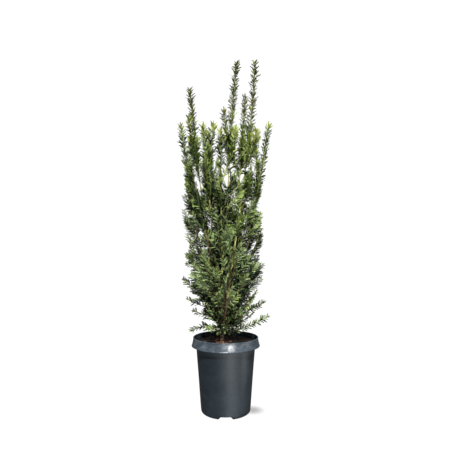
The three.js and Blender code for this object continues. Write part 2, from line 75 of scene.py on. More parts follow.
# Plant: the values that its solids are grown from
GAP = 0.3
UP = np.array([0.0, 0.0, 1.0])
RIGHT = np.array([1.0, 0.0, 0.0])
GOLDEN_ANGLE = math.radians(137.5)
TRUNK_FOOT = [-11, 0, SOIL_TOP + GAP]
TRUNK_BENDS = [[12, -2, 400], [73, -22, 700]]
TRUNK_TIP = [83, -25, 972]
TRUNK_MORE = [[85, -62, 764]]
TRUNK_RADII = {"low": 3.9, "high": 1.6, "flare": 3.4, "flare_height": 10, "lobes": 3, "depth": 0.16}
STEMS = [
    ("stem_far_left", 209, [-127, -15, 793], [[-95, -58, 742]]),
    ("stem_right", 216, [125, 10, 802], [[93, 78, 748]]),
    ("stem_front", 224, [-14, -95, 754], [[27, -82, 764]]),
    ("stem_left", 235, [-105, 20, 911], [[-104, -22, 814]]),
    ("stem_back_right", 243, [60, 76, 912], [[57, 104, 800], [14, 104, 796]]),
    ("stem_front_left", 254, [-61, -65, 778], [[-33, -46, 786]]),
    ("stem_back_left", 267, [-54, 90, 806], [[-98, 64, 770]]),
    ("stem_middle", 286, [33, 35, 999], [[-6, 24, 850]]),
]
LATE = ["stem_middle"]
STEM_RADII = {"low": 2.7, "high": 1.4}
STEM_BOW = {"low_out": 0.38, "low_up": 0.2, "high_out": 0.7, "high_up": 0.56}
LATE_BOW = {"low_out": 0.05, "low_up": 0.3, "high_out": 0.12, "high_up": 0.62}
WOODY_SHARE = 0.6
LIMB_PIECES = 48
TALL = {"lowest_rise": 100, "per_reach": 1.3, "turn_up": 0.3}
LATERALS = {"spacing": 34, "first": 0.05, "last": 0.6, "longest": 92, "shortest": 40, "angle": 27}
HIGHEST_SIDE_TIP = 792
CROWN = {"x": -8, "radius": 110, "edge": 2, "lowest": 300, "highest": 690, "count": 27}
CROWN_FOOT = {"full": 400, "low": 215, "less": 0.56, "bend": 1.6}
INNER_EVERY = 5
INNER_SHARE = 0.42
STEEPNESS = {"low": 56, "high": 72, "least_rise": 100}
LOWEST_ROOT = 14
SIDE_SHOOTS = {"first": 0.22, "last": 0.76}
SIDES_OF_SIDE = {"count": 5, "angle": 30, "turn_up": 0.3, "reach": 0.66, "less": 0.4}
SIDES_OF_LOW = {"count": 4, "angle": 36, "turn_up": 0.12, "reach": 0.36, "less": 0.24}
REACH_STRAY = {"least": 0.85, "more": 0.3}
OUTER_SHARE = {"least": 0.92, "more": 0.08}
SIDE_TURN_UP = 0.22
SIDE_SHIFT = {"turn": 5, "lift": 6}
LOW_FACING = np.array([0, -0.7, 0.7])
LOW_TURN_UP = {"steep": 0.1, "flat": -0.25, "above": 20}
LOW_SHIFT = {"turn": 4, "lift": 5}
LOW_SPRAYS = [  # heading, reach, height of the tip, rise
    (182, 96, 303, 30),
    (170, 80, 270, 22),
    (191, 86, 219, -16),
    (176, 109, 358, 62),
    (5, 118, 294, 66),
    (-5, 129, 257, 54),
    (232, 66, 228, 27),
    (-52, 96, 272, 70),
    (58, 104, 262, 34),
    (118, 106, 258, 30),
    (284, 52, 306, 90),
    (22, 74, 298, 70),
    (212, 70, 306, 80),
]
SHOOT_RADII = {"main": 2.0, "side": 1.7}
SHOOT_PIECES = 8
LATE_POINT = 4  # the point on a shoot's line that tells where its leaves are
ROOT_PIECES = 3
ROOM = {"root": 1.0, "limb": 2.5, "shoot": 5.0}
SEEDS = {"first": 101, "step": 37, "count": 60}
FIRST_DRAW = {"lows": 12, "sides": 30}  # places of the first generators that these masses use
BARE_ROOT = 12
BUD = 6


def lerp(a, b, share):
    return (1 - share) * a + share * b


def clamp(value, low, high):
    return max(low, min(high, value))


def seeded(seed):
    """The generator of the solids, which gives the same draws."""
    state = seed

    def draw():
        nonlocal state
        state = (state * 1664525 + 1013904223) & 0xFFFFFFFF
        return state / 4294967296

    return draw


def unit(vectors):
    vectors = np.asarray(vectors, float)
    return vectors / np.linalg.norm(vectors, axis=-1, keepdims=True)


def cubic(corners, t):
    a, b, c, d = corners
    k = 1 - t
    return k * k * k * a + 3 * k * k * t * b + 3 * k * t * t * c + t * t * t * d


class Curve:
    """A cubic curve."""

    def __init__(self, *corners):
        self.corners = np.array(corners, float)
        self.table = None

    def at(self, t):
        return cubic(self.corners, np.asarray(t, float)[..., None])

    def tangent(self, t):
        t = np.asarray(t, float)
        return unit(self.at(np.minimum(t + 1e-4, 1)) - self.at(np.maximum(t - 1e-4, 0)))

    def distances(self):
        if self.table is None:
            steps = np.diff(self.at(np.linspace(0, 1, 201)), axis=0)
            self.table = np.concatenate([[0], np.cumsum(np.linalg.norm(steps, axis=1))])
        return self.table

    def length(self):
        return self.distances()[-1]

    def parameter(self, share):
        """The parameter at a share of the length."""
        return np.interp(np.asarray(share) * self.length(), self.distances(), np.linspace(0, 1, 201))

    def line(self, pieces):
        return self.at(np.linspace(0, 1, pieces + 1))

    def stretch(self, start, end):
        def corner(a, b, c):
            v = self.corners
            p, q, r = (lerp(v[i], v[i + 1], a) for i in range(3))
            return lerp(lerp(p, q, b), lerp(q, r, b), c)

        ends = [(start, start, start), (start, start, end), (start, end, end), (end, end, end)]
        return Curve(*(corner(*shares) for shares in ends))

    def parameter_at_height(self, height):
        heights = [float(z) for z in self.corners[:, 2]]
        low, high = 0.0, 1.0
        for _ in range(30):
            middle = (low + high) / 2
            if cubic(heights, middle) < height:
                low = middle
            else:
                high = middle
        return (low + high) / 2

    def at_height(self, height):
        return self.at(self.parameter_at_height(height))


def piece_gaps(a, b, c, d):
    """Shortest distances between the straight pieces a-b and c-d."""
    u, v, w = b - a, d - c, a - c
    uu, uv, vv = (u * u).sum(-1), (u * v).sum(-1), (v * v).sum(-1)
    uw, vw = (u * w).sum(-1), (v * w).sum(-1)
    spread = uu * vv - uv * uv
    s = np.where(spread > 1e-9, (uv * vw - vv * uw) / np.where(spread > 1e-9, spread, 1), 0)
    t = np.clip((uv * np.clip(s, 0, 1) + vw) / vv, 0, 1)
    s = np.clip((uv * t - uw) / uu, 0, 1)
    return np.linalg.norm(w + u * s[..., None] - v * t[..., None], axis=-1)


class Placed:
    """Straight pieces of all that has grown, each with its thickness, the room that it is left
    and the number of its node."""

    def __init__(self, most):
        self.start, self.end = np.zeros((most, 3)), np.zeros((most, 3))
        self.radius, self.room = np.zeros(most), np.zeros(most)
        self.node = np.zeros(most, int)
        self.count = 0
        self.names = {}

    def number(self, name):
        return self.names.setdefault(name, len(self.names) + 1)

    def add(self, line, radii, room, name):
        low, high = self.count, self.count + len(line) - 1
        self.start[low:high], self.end[low:high] = line[:-1], line[1:]
        self.radius[low:high], self.room[low:high] = radii, room
        self.node[low:high] = self.number(name)
        self.count = high

    def has_room(self, line, radius, name, source, room_scale=1.0, root_pieces=ROOT_PIECES):
        """Whether a shoot stays clear. Near its root it may touch what it grows from."""
        n = self.count
        gaps = piece_gaps(line[:-1, None], line[1:, None], self.start[None, :n], self.end[None, :n])
        room = np.repeat(self.room[None, :n] * room_scale, len(line) - 1, axis=0)
        room[:root_pieces] = ROOM["root"]
        clear = gaps > radius + self.radius[:n] + room
        own = (self.node[:n] == self.number(name)) | (self.node[:n] == self.number(source))
        clear[:root_pieces] |= own
        return bool(clear.all())


placed = Placed(60000)


# Limbs
class Limb:
    def __init__(self, name, curve, tips, host):
        self.name, self.curve, self.host = name, curve, host
        self.tips = [np.array(tip, float) for tip in tips]
        foot, top = curve.corners[0][2], curve.corners[3][2]
        self.end = curve.parameter_at_height(lerp(foot, top, WOODY_SHARE))
        self.wood = curve.stretch(0, self.end)
        self.length = self.wood.length()

    def radius_at(self, along, turn=0.0):
        along = np.asarray(along, float)
        if self.host:
            return lerp(STEM_RADII["low"], STEM_RADII["high"], along)
        r = TRUNK_RADII
        flared = np.exp(-along * self.length / r["flare_height"])
        lobe = 1 + r["depth"] * flared * np.cos(r["lobes"] * turn)
        return (lerp(r["low"], r["high"], along**0.6) + r["flare"] * flared) * lobe


def stem_curve(foot, tip, bow):
    tip = np.array(tip, float)
    rise = tip[2] - foot[2]
    out = (tip - foot) * [1, 1, 0]
    low = foot + out * bow["low_out"] + UP * rise * bow["low_up"]
    high = foot + out * bow["high_out"] + UP * rise * bow["high_up"]
    return Curve(foot, low, high, tip)


def make_limbs():
    trunk = Limb("trunk", Curve(TRUNK_FOOT, *TRUNK_BENDS, TRUNK_TIP), TRUNK_MORE, None)
    limbs = [trunk]
    for name, start, tip, more in STEMS:
        bow = LATE_BOW if name in LATE else STEM_BOW
        limbs.append(Limb(name, stem_curve(trunk.curve.at_height(start), tip, bow), more, trunk))
    return limbs


# Shoots and masses
class Shoot:
    def __init__(self, curve, facing, radius, kind, pieces=SHOOT_PIECES):
        self.curve, self.facing, self.radius, self.kind = curve, facing, radius, kind
        self.line = curve.line(pieces)


class Mass:
    def __init__(self, name, shoots):
        self.name, self.shoots = name, []
        for shoot in shoots:
            self.put(shoot, ROOM["shoot"])

    def put(self, shoot, room):
        self.shoots.append(shoot)
        placed.add(shoot.line, shoot.radius, room, self.name)


def rising_curve(root, tip, turn_up):
    way = tip - root
    third = np.linalg.norm(way) * 0.35
    way = unit(way)
    start = unit(way - UP * turn_up) * third
    end = unit(way + UP * 1.5 * turn_up) * third
    return Curve(root, root + start, tip - end, tip)


def side_shoot(
    parent, share, sideways, length, angle, turn_up, radius=SHOOT_RADII["side"], pieces=SHOOT_PIECES
):
    root = parent.curve.at(share)
    ahead = parent.curve.tangent(share)
    across = unit(sideways - ahead * (sideways @ ahead))
    turn = math.radians(angle)
    tip = root + (ahead * math.cos(turn) + across * math.sin(turn)) * length
    return Shoot(rising_curve(root, tip, turn_up), parent.facing, radius, "side", pieces)


def crown_radius(height):
    rule = CROWN_FOOT
    below = np.clip((rule["full"] - height) / (rule["full"] - rule["low"]), 0, 1)
    return CROWN["radius"] * (1 - rule["less"] * below ** rule["bend"])


def inside_crown(line, edge):
    away = np.hypot(line[:, 0] - CROWN["x"], line[:, 1])
    return bool(np.all((away < crown_radius(line[:, 2]) + edge) & (line[:, 2] > POT_HEIGHT + BUD)))


def add_shoot(mass, shoot):
    line = shoot.line
    if inside_crown(line, CROWN["edge"]) and placed.has_room(line, shoot.radius, mass.name, mass.name):
        mass.put(shoot, ROOM["shoot"])


def top_mass(limb):
    start = limb.end + GAP / limb.curve.length()
    own = Shoot(limb.curve.stretch(start, 1), RIGHT, SHOOT_RADII["main"], "tall")
    talls = [own]
    for tip in limb.tips:
        beside = math.hypot(*(tip - own.line[SHOOT_PIECES // 2])[:2])
        height = tip[2] - TALL["lowest_rise"] - TALL["per_reach"] * beside
        root = own.curve.at_height(max(own.line[0][2] + BARE_ROOT, height))
        curve = rising_curve(root, tip, TALL["turn_up"])
        talls.append(Shoot(curve, RIGHT, SHOOT_RADII["main"], "tall"))
    return Mass("top_of_" + limb.name, talls)


def spiral_way(heading):
    return np.array([math.cos(heading), math.sin(heading), 0])


def uneven(rule, random):
    return rule["least"] + rule["more"] * random()


def add_laterals(mass, random):
    rule = LATERALS
    for tall in list(mass.shoots):
        count = int((rule["last"] - rule["first"]) * tall.curve.length() / rule["spacing"] + 0.5)
        spin = random() * 2 * math.pi
        for i in range(count):
            sideways = spiral_way(spin + i * GOLDEN_ANGLE)
            reach = lerp(rule["longest"], rule["shortest"], i / count) * uneven(REACH_STRAY, random)
            share = lerp(rule["first"], rule["last"], i / count)
            shoot = side_shoot(tall, share, sideways, reach, rule["angle"], 0.25)
            if shoot.curve.corners[3][2] < HIGHEST_SIDE_TIP:
                add_shoot(mass, shoot)


def add_sides(mass, rule, random):
    main = mass.shoots[0]
    for i in range(rule["count"]):
        share = lerp(SIDE_SHOOTS["first"], SIDE_SHOOTS["last"], i / (rule["count"] - 1))
        across = unit(np.cross(main.curve.tangent(share), main.facing)) * (-1 if i % 2 else 1)
        reach = (rule["reach"] - rule["less"] * share) * main.curve.length()
        reach *= uneven(REACH_STRAY, random)
        add_shoot(mass, side_shoot(main, share, across, reach, rule["angle"], rule["turn_up"]))


STEPS = [0, 1, -1, 2, -2, 3, -3]
EVERY_SHIFT = [(turn, rise) for turn in STEPS for rise in STEPS]
SHIFTS = sorted(EVERY_SHIFT, key=lambda shift: abs(shift[0]) + abs(shift[1]))  # the smallest first


def nearest_limbs(tip, limbs, least_rise, steepness, lift):
    ways = []
    for limb in limbs:
        beside = limb.curve.at_height(tip[2] - least_rise)
        away = math.hypot(*(tip - beside)[:2])
        lowest = limb.curve.corners[0][2] + lift
        highest = limb.wood.corners[3][2] - BUD
        height = clamp(tip[2] - max(least_rise, away * steepness), lowest, highest)
        root = limb.curve.at_height(height)
        ways.append((float(np.linalg.norm(tip - root)), limb, root))
    return sorted(ways, key=lambda way: way[0])


def mass_with_room(name, limbs, aim):
    for shift in SHIFTS:
        tip, least_rise, steepness, facing, turn_up = aim(*shift)
        lift = LOWEST_ROOT * (1 + 0.5 * abs(shift[1]))
        for _, limb, root in nearest_limbs(tip, limbs, least_rise, steepness, lift):
            shoot = Shoot(rising_curve(root, tip, turn_up), facing, SHOOT_RADII["main"], "main")
            if placed.has_room(shoot.line, shoot.radius, name, limb.name):
                return Mass(name, [shoot])
    return None


def low_spray(index, limbs):
    heading, reach, height, rise = LOW_SPRAYS[index]

    def aim(turn, lift):
        way = math.radians(heading + LOW_SHIFT["turn"] * turn)
        foot = TRUNK_FOOT
        tip = np.array([foot[0] + reach * math.cos(way), foot[1] + reach * math.sin(way), height])
        turn_up = LOW_TURN_UP["steep" if rise > LOW_TURN_UP["above"] else "flat"]
        return tip, rise - LOW_SHIFT["lift"] * lift, 0, LOW_FACING, turn_up

    return mass_with_room(f"low_spray_{index + 1}", limbs, aim)


def side_mass(index, limbs, random):
    share = (index + 0.5) / CROWN["count"]
    inner = index % INNER_EVERY == INNER_EVERY - 1
    spread = INNER_SHARE if inner else uneven(OUTER_SHARE, random)
    steepness = math.tan(math.radians(lerp(STEEPNESS["low"], STEEPNESS["high"], share)))

    def aim(turn, lift):
        facing = spiral_way(index * GOLDEN_ANGLE + math.radians(SIDE_SHIFT["turn"] * turn))
        height = lerp(CROWN["lowest"], CROWN["highest"], share) + SIDE_SHIFT["lift"] * lift
        tip = np.array([CROWN["x"], 0, height]) + facing * crown_radius(height) * spread
        return tip, STEEPNESS["least_rise"], steepness, facing, SIDE_TURN_UP

    return mass_with_room(f"side_mass_{index + 1}", limbs, aim)


def grow_skeleton():
    """The limbs and the masses, as in the solids."""
    limbs = make_limbs()
    for limb in limbs:
        line = limb.wood.line(LIMB_PIECES)[1 if limb.host else 0 :]
        shares = np.arange(1, len(line)) / len(line)
        placed.add(line, limb.radius_at(shares), ROOM["limb"], limb.name)
    randoms = [seeded(SEEDS["first"] + SEEDS["step"] * i) for i in range(SEEDS["count"])]
    for_lows, for_sides = randoms[FIRST_DRAW["lows"] :], randoms[FIRST_DRAW["sides"] :]
    tops = [top_mass(limb) for limb in limbs]
    lows = [mass for i in range(len(LOW_SPRAYS)) if (mass := low_spray(i, limbs))]
    sides = [mass for i in range(CROWN["count"]) if (mass := side_mass(i, limbs, for_sides[i]))]
    for mass, random in zip(tops, randoms):
        add_laterals(mass, random)
    for mass, random in zip(lows, for_lows):
        add_sides(mass, SIDES_OF_LOW, random)
    for mass, random in zip(sides, for_sides):
        add_sides(mass, SIDES_OF_SIDE, random)
    return limbs, tops, lows, sides


limbs, tops, lows, sides = grow_skeleton()


# Finer growth, which stays within the reach of the masses
FINE_ROOM = 3.4
FINE_SCALE = 0.35
FINE_PIECES = 5
FINE_ROOT_PIECES = 2
FINE_SEEDS = {"all": 11, "foot": 19}
TWIG_RADIUS = 0.9
INNER = {"spacing": 9, "longest": 80, "shortest": 48, "angle": 26, "stray": 7}
INNER_SPAN = {"lowest": 240, "over_root": 6, "last": 0.98}
FOOT = {"spacing": 5, "longest": 62, "shortest": 36, "angle": 50, "stray": 18}
FOOT_SPAN = {"lowest": 197, "over_root": 4, "highest": 262, "moved_right": 16}
TALL_TWIGS = {"spacing": 12, "longest": 54, "shortest": 16, "angle": 24, "stray": 7}
TALL_SPAN = (0.03, 0.66)
SPRAY_TWIGS = {"spacing": 13, "first": 0.2, "last": 0.88, "share": 0.6, "shortest": 13, "angle": 30}
LOW_TWIGS = {"left": 0.55, "right": 1.6}
FOOT_FILL = [  # heading, height of the root, length and angle to the trunk of shoots on its foot
    (-20, 228, 106, 47),
    (12, 240, 104, 46),
    (-6, 220, 98, 53),
    (-44, 254, 80, 40),
    (32, 268, 84, 38),
    (-8, 284, 82, 38),
    (200, 202, 42, 62),
    (236, 206, 40, 64),
    (258, 198, 36, 66),
    (284, 208, 40, 62),
    (312, 202, 42, 66),
    (248, 218, 40, 56),
    (222, 228, 48, 54),
    (272, 222, 42, 56),
    (300, 230, 46, 52),
]
DRESSED_TRUNK = [530, 656]  # heights between which needles stand on the trunk itself
FINE_EDGE = -3
VIEW_DISTANCE = 1150
VIEW_HEIGHT = 430
SKY_MARGIN = {"twigs": 2, "needles": -2}
SKY_GAPS = [  # where sky shows between the stems: x, half width, lowest, highest, from the front
    (-74, 7, 606, 706),
    (0, 12, 612, 692),
    (26, 8, 566, 622),
    (43, 10, 622, 698),
    (82, 8, 644, 712),
    (-42, 5, 494, 532),
    (54, 5, 470, 512),
    (-116, 12, 432, 470),
    (-72, 11, 268, 298),
    (-56, 8, 246, 264),
]


def from_front(points):
    """Where points are seen from the front, as x and height in the plane of the trunk."""
    nearness = VIEW_DISTANCE / (VIEW_DISTANCE + points[:, 1])
    return points[:, 0] * nearness, VIEW_HEIGHT + (points[:, 2] - VIEW_HEIGHT) * nearness


def in_sky_gap(points, margin):
    x, z = from_front(points)
    hit = np.zeros(len(points), bool)
    for middle, half, low, high in SKY_GAPS:
        across = (x - middle) / (half + margin)
        up = (z - (low + high) / 2) / ((high - low) / 2 + margin)
        hit |= across**2 + up**2 < 1
    return hit


def add_fine(mass, shoot):
    line = shoot.line
    name = mass.name
    if inside_crown(line, FINE_EDGE) and not in_sky_gap(line, SKY_MARGIN["twigs"]).any():
        if placed.has_room(line, shoot.radius, name, name, FINE_SCALE, FINE_ROOT_PIECES):
            mass.put(shoot, FINE_ROOM)


def add_at_foot(mass, shoot):
    """The short shoots round the foot stand so close that they may touch one another."""
    if inside_crown(shoot.line - RIGHT * FOOT_SPAN["moved_right"], FINE_EDGE):
        mass.put(shoot, 0)


def outward_twig(parent, share, sideways, reach, angle, kind="inner"):
    twig = side_shoot(parent, share, sideways, reach, angle, 0.3, TWIG_RADIUS, FINE_PIECES)
    twig.facing, twig.kind = unit(sideways + UP * 0.4), kind
    return twig


def spiral_twigs(mass, parent, rule, random, first, last):
    count = max(1, round((last - first) * parent.curve.length() / rule["spacing"]))
    spin = random.uniform(0, 2 * math.pi)
    kind = "side" if rule is TALL_TWIGS else "inner"
    for i in range(count):
        share = lerp(first, last, (i + random.uniform(0, 0.8)) / count)
        sideways = spiral_way(spin + i * GOLDEN_ANGLE)
        reach = lerp(rule["longest"], rule["shortest"], i / count) * random.uniform(0.75, 1.15)
        angle = rule["angle"] + random.uniform(-1, 1) * rule["stray"]
        twig = outward_twig(parent, share, sideways, reach, angle, kind)
        if rule is FOOT:
            add_at_foot(mass, twig)
        elif twig.curve.corners[3][2] < HIGHEST_SIDE_TIP:
            add_fine(mass, twig)


def alternate_twigs(mass, parent, random):
    rule = SPRAY_TWIGS
    length = parent.curve.length()
    count = int((rule["last"] - rule["first"]) * length / rule["spacing"])
    for i in range(count):
        share = lerp(rule["first"], rule["last"], (i + random.uniform(0.1, 0.9)) / count)
        facing = parent.facing + random.uniform(-0.35, 0.35, 3)
        across = unit(np.cross(parent.curve.tangent(share), facing)) * (-1 if i % 2 else 1)
        reach = rule["share"] * (1 - share) * length * random.uniform(0.7, 1.1) + rule["shortest"]
        if mass.name.startswith("low_spray"):
            reach *= LOW_TWIGS["left" if parent.line[-1][0] < 0 else "right"]
        angle = rule["angle"] + random.uniform(-6, 6)
        twig = side_shoot(parent, share, across, reach, angle, 0.25, TWIG_RADIUS, FINE_PIECES)
        twig.kind = "twig"
        add_fine(mass, twig)


class LimbShoots(Mass):
    """The short shoots that a limb carries between the masses."""

    def __init__(self, limb):
        super().__init__("shoots_on_" + limb.name, [])
        self.limb = limb
        self.parent = Shoot(limb.wood, RIGHT, 0, "limb")
        placed.names[self.name] = placed.number(limb.name)

    def grow(self, random):
        """Twigs all along the limb, and closer ones round its foot."""
        wood, span = self.limb.wood, FOOT_SPAN
        root = wood.corners[0][2]
        start = wood.parameter_at_height(max(INNER_SPAN["lowest"], root + INNER_SPAN["over_root"]))
        spiral_twigs(self, self.parent, INNER, random, start, INNER_SPAN["last"])
        lowest = max(span["lowest"], root + span["over_root"])
        if lowest < span["highest"]:
            ends = [wood.parameter_at_height(height) for height in (lowest, span["highest"])]
            spiral_twigs(self, self.parent, FOOT, random, *ends)

    def fill_foot(self, random):
        for heading, height, reach, angle in FOOT_FILL:
            share = self.limb.wood.parameter_at_height(height)
            twig = outward_twig(self.parent, share, spiral_way(math.radians(heading)), reach, angle)
            add_at_foot(self, twig)
            alternate_twigs(self, twig, random)

    def dress(self, lowest, highest):
        """Needles stand on the limb itself between two heights."""
        wood = self.limb.wood
        ends = [wood.parameter_at_height(height) for height in (lowest, highest)]
        self.shoots.append(Shoot(wood.stretch(*ends), RIGHT, TWIG_RADIUS, "tall"))


def grow_fine():
    random = np.random.default_rng(FINE_SEEDS["all"])
    masses = [*tops, *lows, *sides]
    parents = [(mass, shoot) for mass in masses for shoot in mass.shoots]
    for mass, shoot in parents:
        if shoot.kind != "tall":
            alternate_twigs(mass, shoot, random)
    for mass, shoot in parents:
        if shoot.kind == "tall":
            spiral_twigs(mass, shoot, TALL_TWIGS, random, *TALL_SPAN)
    on_limbs = [LimbShoots(limb) for limb in limbs]
    for mass in on_limbs:
        mass.grow(random)
    for mass in on_limbs:
        for shoot in list(mass.shoots):
            alternate_twigs(mass, shoot, random)
    trunk = on_limbs[0]
    trunk.fill_foot(np.random.default_rng(FINE_SEEDS["foot"]))
    trunk.dress(*DRESSED_TRUNK)
    return on_limbs


on_limbs = grow_fine()


# Meshes
def put_in_scene(name, data):
    thing = bpy.data.objects.new(name, data)
    bpy.context.scene.collection.objects.link(thing)
    return thing


def make_piece(name, points, faces, materials, nodes=(), indices=None, smooth=False):
    """A piece that rides on the plant's one body. Points are in millimetres."""
    faces = np.asarray(faces, np.int32)
    corners = faces.shape[1]
    mesh = bpy.data.meshes.new(name)
    mesh.vertices.add(len(points))
    mesh.vertices.foreach_set("co", (np.asarray(points, float) * METRES).astype(np.float32).ravel())
    mesh.loops.add(faces.size)
    mesh.loops.foreach_set("vertex_index", faces.ravel())
    mesh.polygons.add(len(faces))
    mesh.polygons.foreach_set("loop_start", np.arange(0, faces.size, corners, dtype=np.int32))
    for material in materials:
        mesh.materials.append(material)
    if indices is not None:
        mesh.polygons.foreach_set("material_index", np.asarray(indices, np.int32))
    mesh.update(calc_edges=True)
    mesh.validate()
    mesh.polygons.foreach_set("use_smooth", np.full(len(mesh.polygons), smooth))
    piece = put_in_scene(name, mesh)
    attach(piece, "root")
    if nodes:
        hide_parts(*nodes)
    return piece


def turns_round(sides):
    """Evenly spread angles round a circle."""
    return np.arange(sides) / sides * 2 * math.pi


def circle(radius, height, sides):
    turns = turns_round(sides)
    return np.stack([radius * np.cos(turns), radius * np.sin(turns), np.full(sides, height)], -1)


def ring_quads(rings, sides):
    """Four-sided faces between rings of points that follow one another."""
    side = np.arange(sides)
    following = (side + 1) % sides
    lows = np.arange(rings - 1)[:, None] * sides
    highs = lows + sides
    quads = np.stack([lows + side, lows + following, highs + following, highs + side], -1)
    return quads.reshape(-1, 4)


def capped_rings(rings, first, last, turned=False):
    """Points and triangles of rings of points that one more point closes at either end."""
    count, sides = rings.shape[:2]
    points = np.concatenate([rings.reshape(-1, 3), [first, last]])
    quads = ring_quads(count, sides)
    here = np.arange(sides)
    there = (here + 1) % sides
    if turned:
        quads = quads[:, ::-1]
        here, there = there, here
    end = (count - 1) * sides
    fans = [np.stack([there, here, np.full(sides, len(points) - 2)], -1)]
    fans.append(np.stack([end + here, end + there, np.full(sides, len(points) - 1)], -1))
    return points, np.concatenate([quads[:, [0, 1, 2]], quads[:, [0, 2, 3]], *fans])


def frames_along(centres):
    """Two directions square to a line, at each of its points."""
    ahead = unit(np.gradient(centres, axis=0))
    reference = np.eye(3)[np.argmin(np.abs(ahead.mean(0)))]
    across = unit(reference - ahead * (ahead @ reference)[:, None])
    return across, np.cross(ahead, across)


def tube(centres, radii, sides, offset=0):
    """Points and four-sided faces of a tube round a line. Radii are one for each ring, or one
    for each ring and side."""
    across, beside = frames_along(centres)
    turns = turns_round(sides)
    across = np.cos(turns)[None, :, None] * across[:, None]
    out = across + np.sin(turns)[None, :, None] * beside[:, None]
    radii = np.asarray(radii, float).reshape(len(centres), -1)
    radii = np.broadcast_to(radii, (len(centres), sides))
    points = (centres[:, None] + out * radii[..., None]).reshape(-1, 3)
    return points, ring_quads(len(centres), sides) + offset


# Materials
def linear(colour):
    """An sRGB colour, 0 to 255, as linear light."""
    shares = np.asarray(colour, float) / 255
    return tuple(np.where(shares <= 0.04045, shares / 12.92, ((shares + 0.055) / 1.055) ** 2.4)) + (1,)


def plain_material(name, colour, roughness, specular):
    material = bpy.data.materials.new(name)
    material.use_nodes = True
    shader = material.node_tree.nodes["Principled BSDF"]
    shader.inputs["Base Color"].default_value = linear(colour)
    shader.inputs["Roughness"].default_value = roughness
    shader.inputs["Specular IOR Level"].default_value = specular
    return material


class Painter:
    """Adds nodes to a material."""

    def __init__(self, name, roughness, specular):
        self.material = plain_material(name, (128, 128, 128), roughness, specular)
        self.nodes, self.links = self.material.node_tree.nodes, self.material.node_tree.links
        self.shader = self.nodes["Principled BSDF"]
        self.place = self.nodes.new("ShaderNodeTexCoord").outputs["Object"]

    def feed(self, socket, value):
        """Gives a socket another's output, a number, or a colour of three sRGB numbers."""
        if isinstance(value, bpy.types.NodeSocket):
            self.links.new(value, socket)
        else:
            socket.default_value = linear(value) if np.ndim(value) else value

    def mapped(self, scale, location=(0, 0, 0)):
        node = self.nodes.new("ShaderNodeMapping")
        node.inputs["Scale"].default_value = scale
        node.inputs["Location"].default_value = location
        self.links.new(self.place, node.inputs["Vector"])
        return node.outputs["Vector"]

    def noise(self, scale, detail=4.0, roughness=0.6, stretch=None, distortion=0.0):
        node = self.nodes.new("ShaderNodeTexNoise")
        node.inputs["Scale"].default_value = scale
        node.inputs["Detail"].default_value = detail
        node.inputs["Roughness"].default_value = roughness
        node.inputs["Distortion"].default_value = distortion
        self.links.new(self.mapped(stretch) if stretch else self.place, node.inputs["Vector"])
        return node.outputs["Fac"]

    def height(self):
        node = self.nodes.new("ShaderNodeSeparateXYZ")
        self.links.new(self.place, node.inputs[0])
        return node.outputs["Z"]

    def ramp(self, value, stops, interpolation="LINEAR"):
        """Colours, each of three sRGB numbers, or numbers at shares of a value."""
        node = self.nodes.new("ShaderNodeValToRGB")
        node.color_ramp.interpolation = interpolation
        elements = node.color_ramp.elements
        while len(elements) < len(stops):
            elements.new(0.5)
        for element, (share, stop) in zip(elements, stops):
            element.position = share
            element.color = linear(stop) if np.ndim(stop) else (stop, stop, stop, 1)
        self.links.new(value, node.inputs["Fac"])
        return node.outputs["Color"]

    def span(self, value, low, high, out_low=0.0, out_high=1.0):
        node = self.nodes.new("ShaderNodeMapRange")
        numbers = {"From Min": low, "From Max": high, "To Min": out_low, "To Max": out_high}
        for name, number in numbers.items():
            node.inputs[name].default_value = number
        self.links.new(value, node.inputs["Value"])
        return node.outputs["Result"]

    def blend(self, share, first, second):
        node = self.nodes.new("ShaderNodeMix")
        node.data_type = "RGBA"
        for key, value in (("Factor", share), (6, first), (7, second)):
            self.feed(node.inputs[key], value)
        return node.outputs[2]

    def times(self, first, second):
        node = self.nodes.new("ShaderNodeMath")
        node.operation = "MULTIPLY"
        for socket, value in zip(node.inputs, (first, second)):
            self.feed(socket, value)
        return node.outputs[0]

    def paint(self, colour, roughness=None):
        self.links.new(colour, self.shader.inputs["Base Color"])
        if roughness is not None:
            self.links.new(roughness, self.shader.inputs["Roughness"])

    def bump(self, height, strength, distance):
        node = self.nodes.new("ShaderNodeBump")
        node.inputs["Strength"].default_value = strength
        node.inputs["Distance"].default_value = distance
        self.links.new(height, node.inputs["Height"])
        before = self.shader.inputs["Normal"].links
        if before:
            self.links.new(before[0].from_socket, node.inputs["Normal"])
        self.links.new(node.outputs["Normal"], self.shader.inputs["Normal"])


# Needles
TONES = [  # name, upper side, underside, gloss
    ("shade", (14, 24, 9), (32, 45, 19), 0.06),
    ("deep", (42, 62, 24), (62, 83, 38), 0.14),
    ("middle", (86, 110, 46), (106, 128, 60), 0.26),
    ("fresh", (142, 164, 78), (152, 168, 94), 0.35),
    ("young", (152, 168, 60), (158, 170, 84), 0.3),
    ("tip", (180, 184, 84), (172, 174, 96), 0.4),
    ("olive", (78, 74, 13), (96, 92, 32), 0.08),
    ("moss", (44, 58, 12), (64, 78, 25), 0.08),
    ("dusk", (30, 48, 30), (48, 68, 45), 0.12),
    ("cool", (64, 86, 52), (84, 104, 68), 0.25),
    ("pale", (138, 158, 98), (150, 164, 118), 0.3),
]
DEEP, FRESH, TIP, OLIVE, MOSS, DUSK = 1, 3, 5, 6, 7, 8  # places of tones in the table
NEEDLE = {"length": 16.5, "width": 2.45, "thick": 0.75}
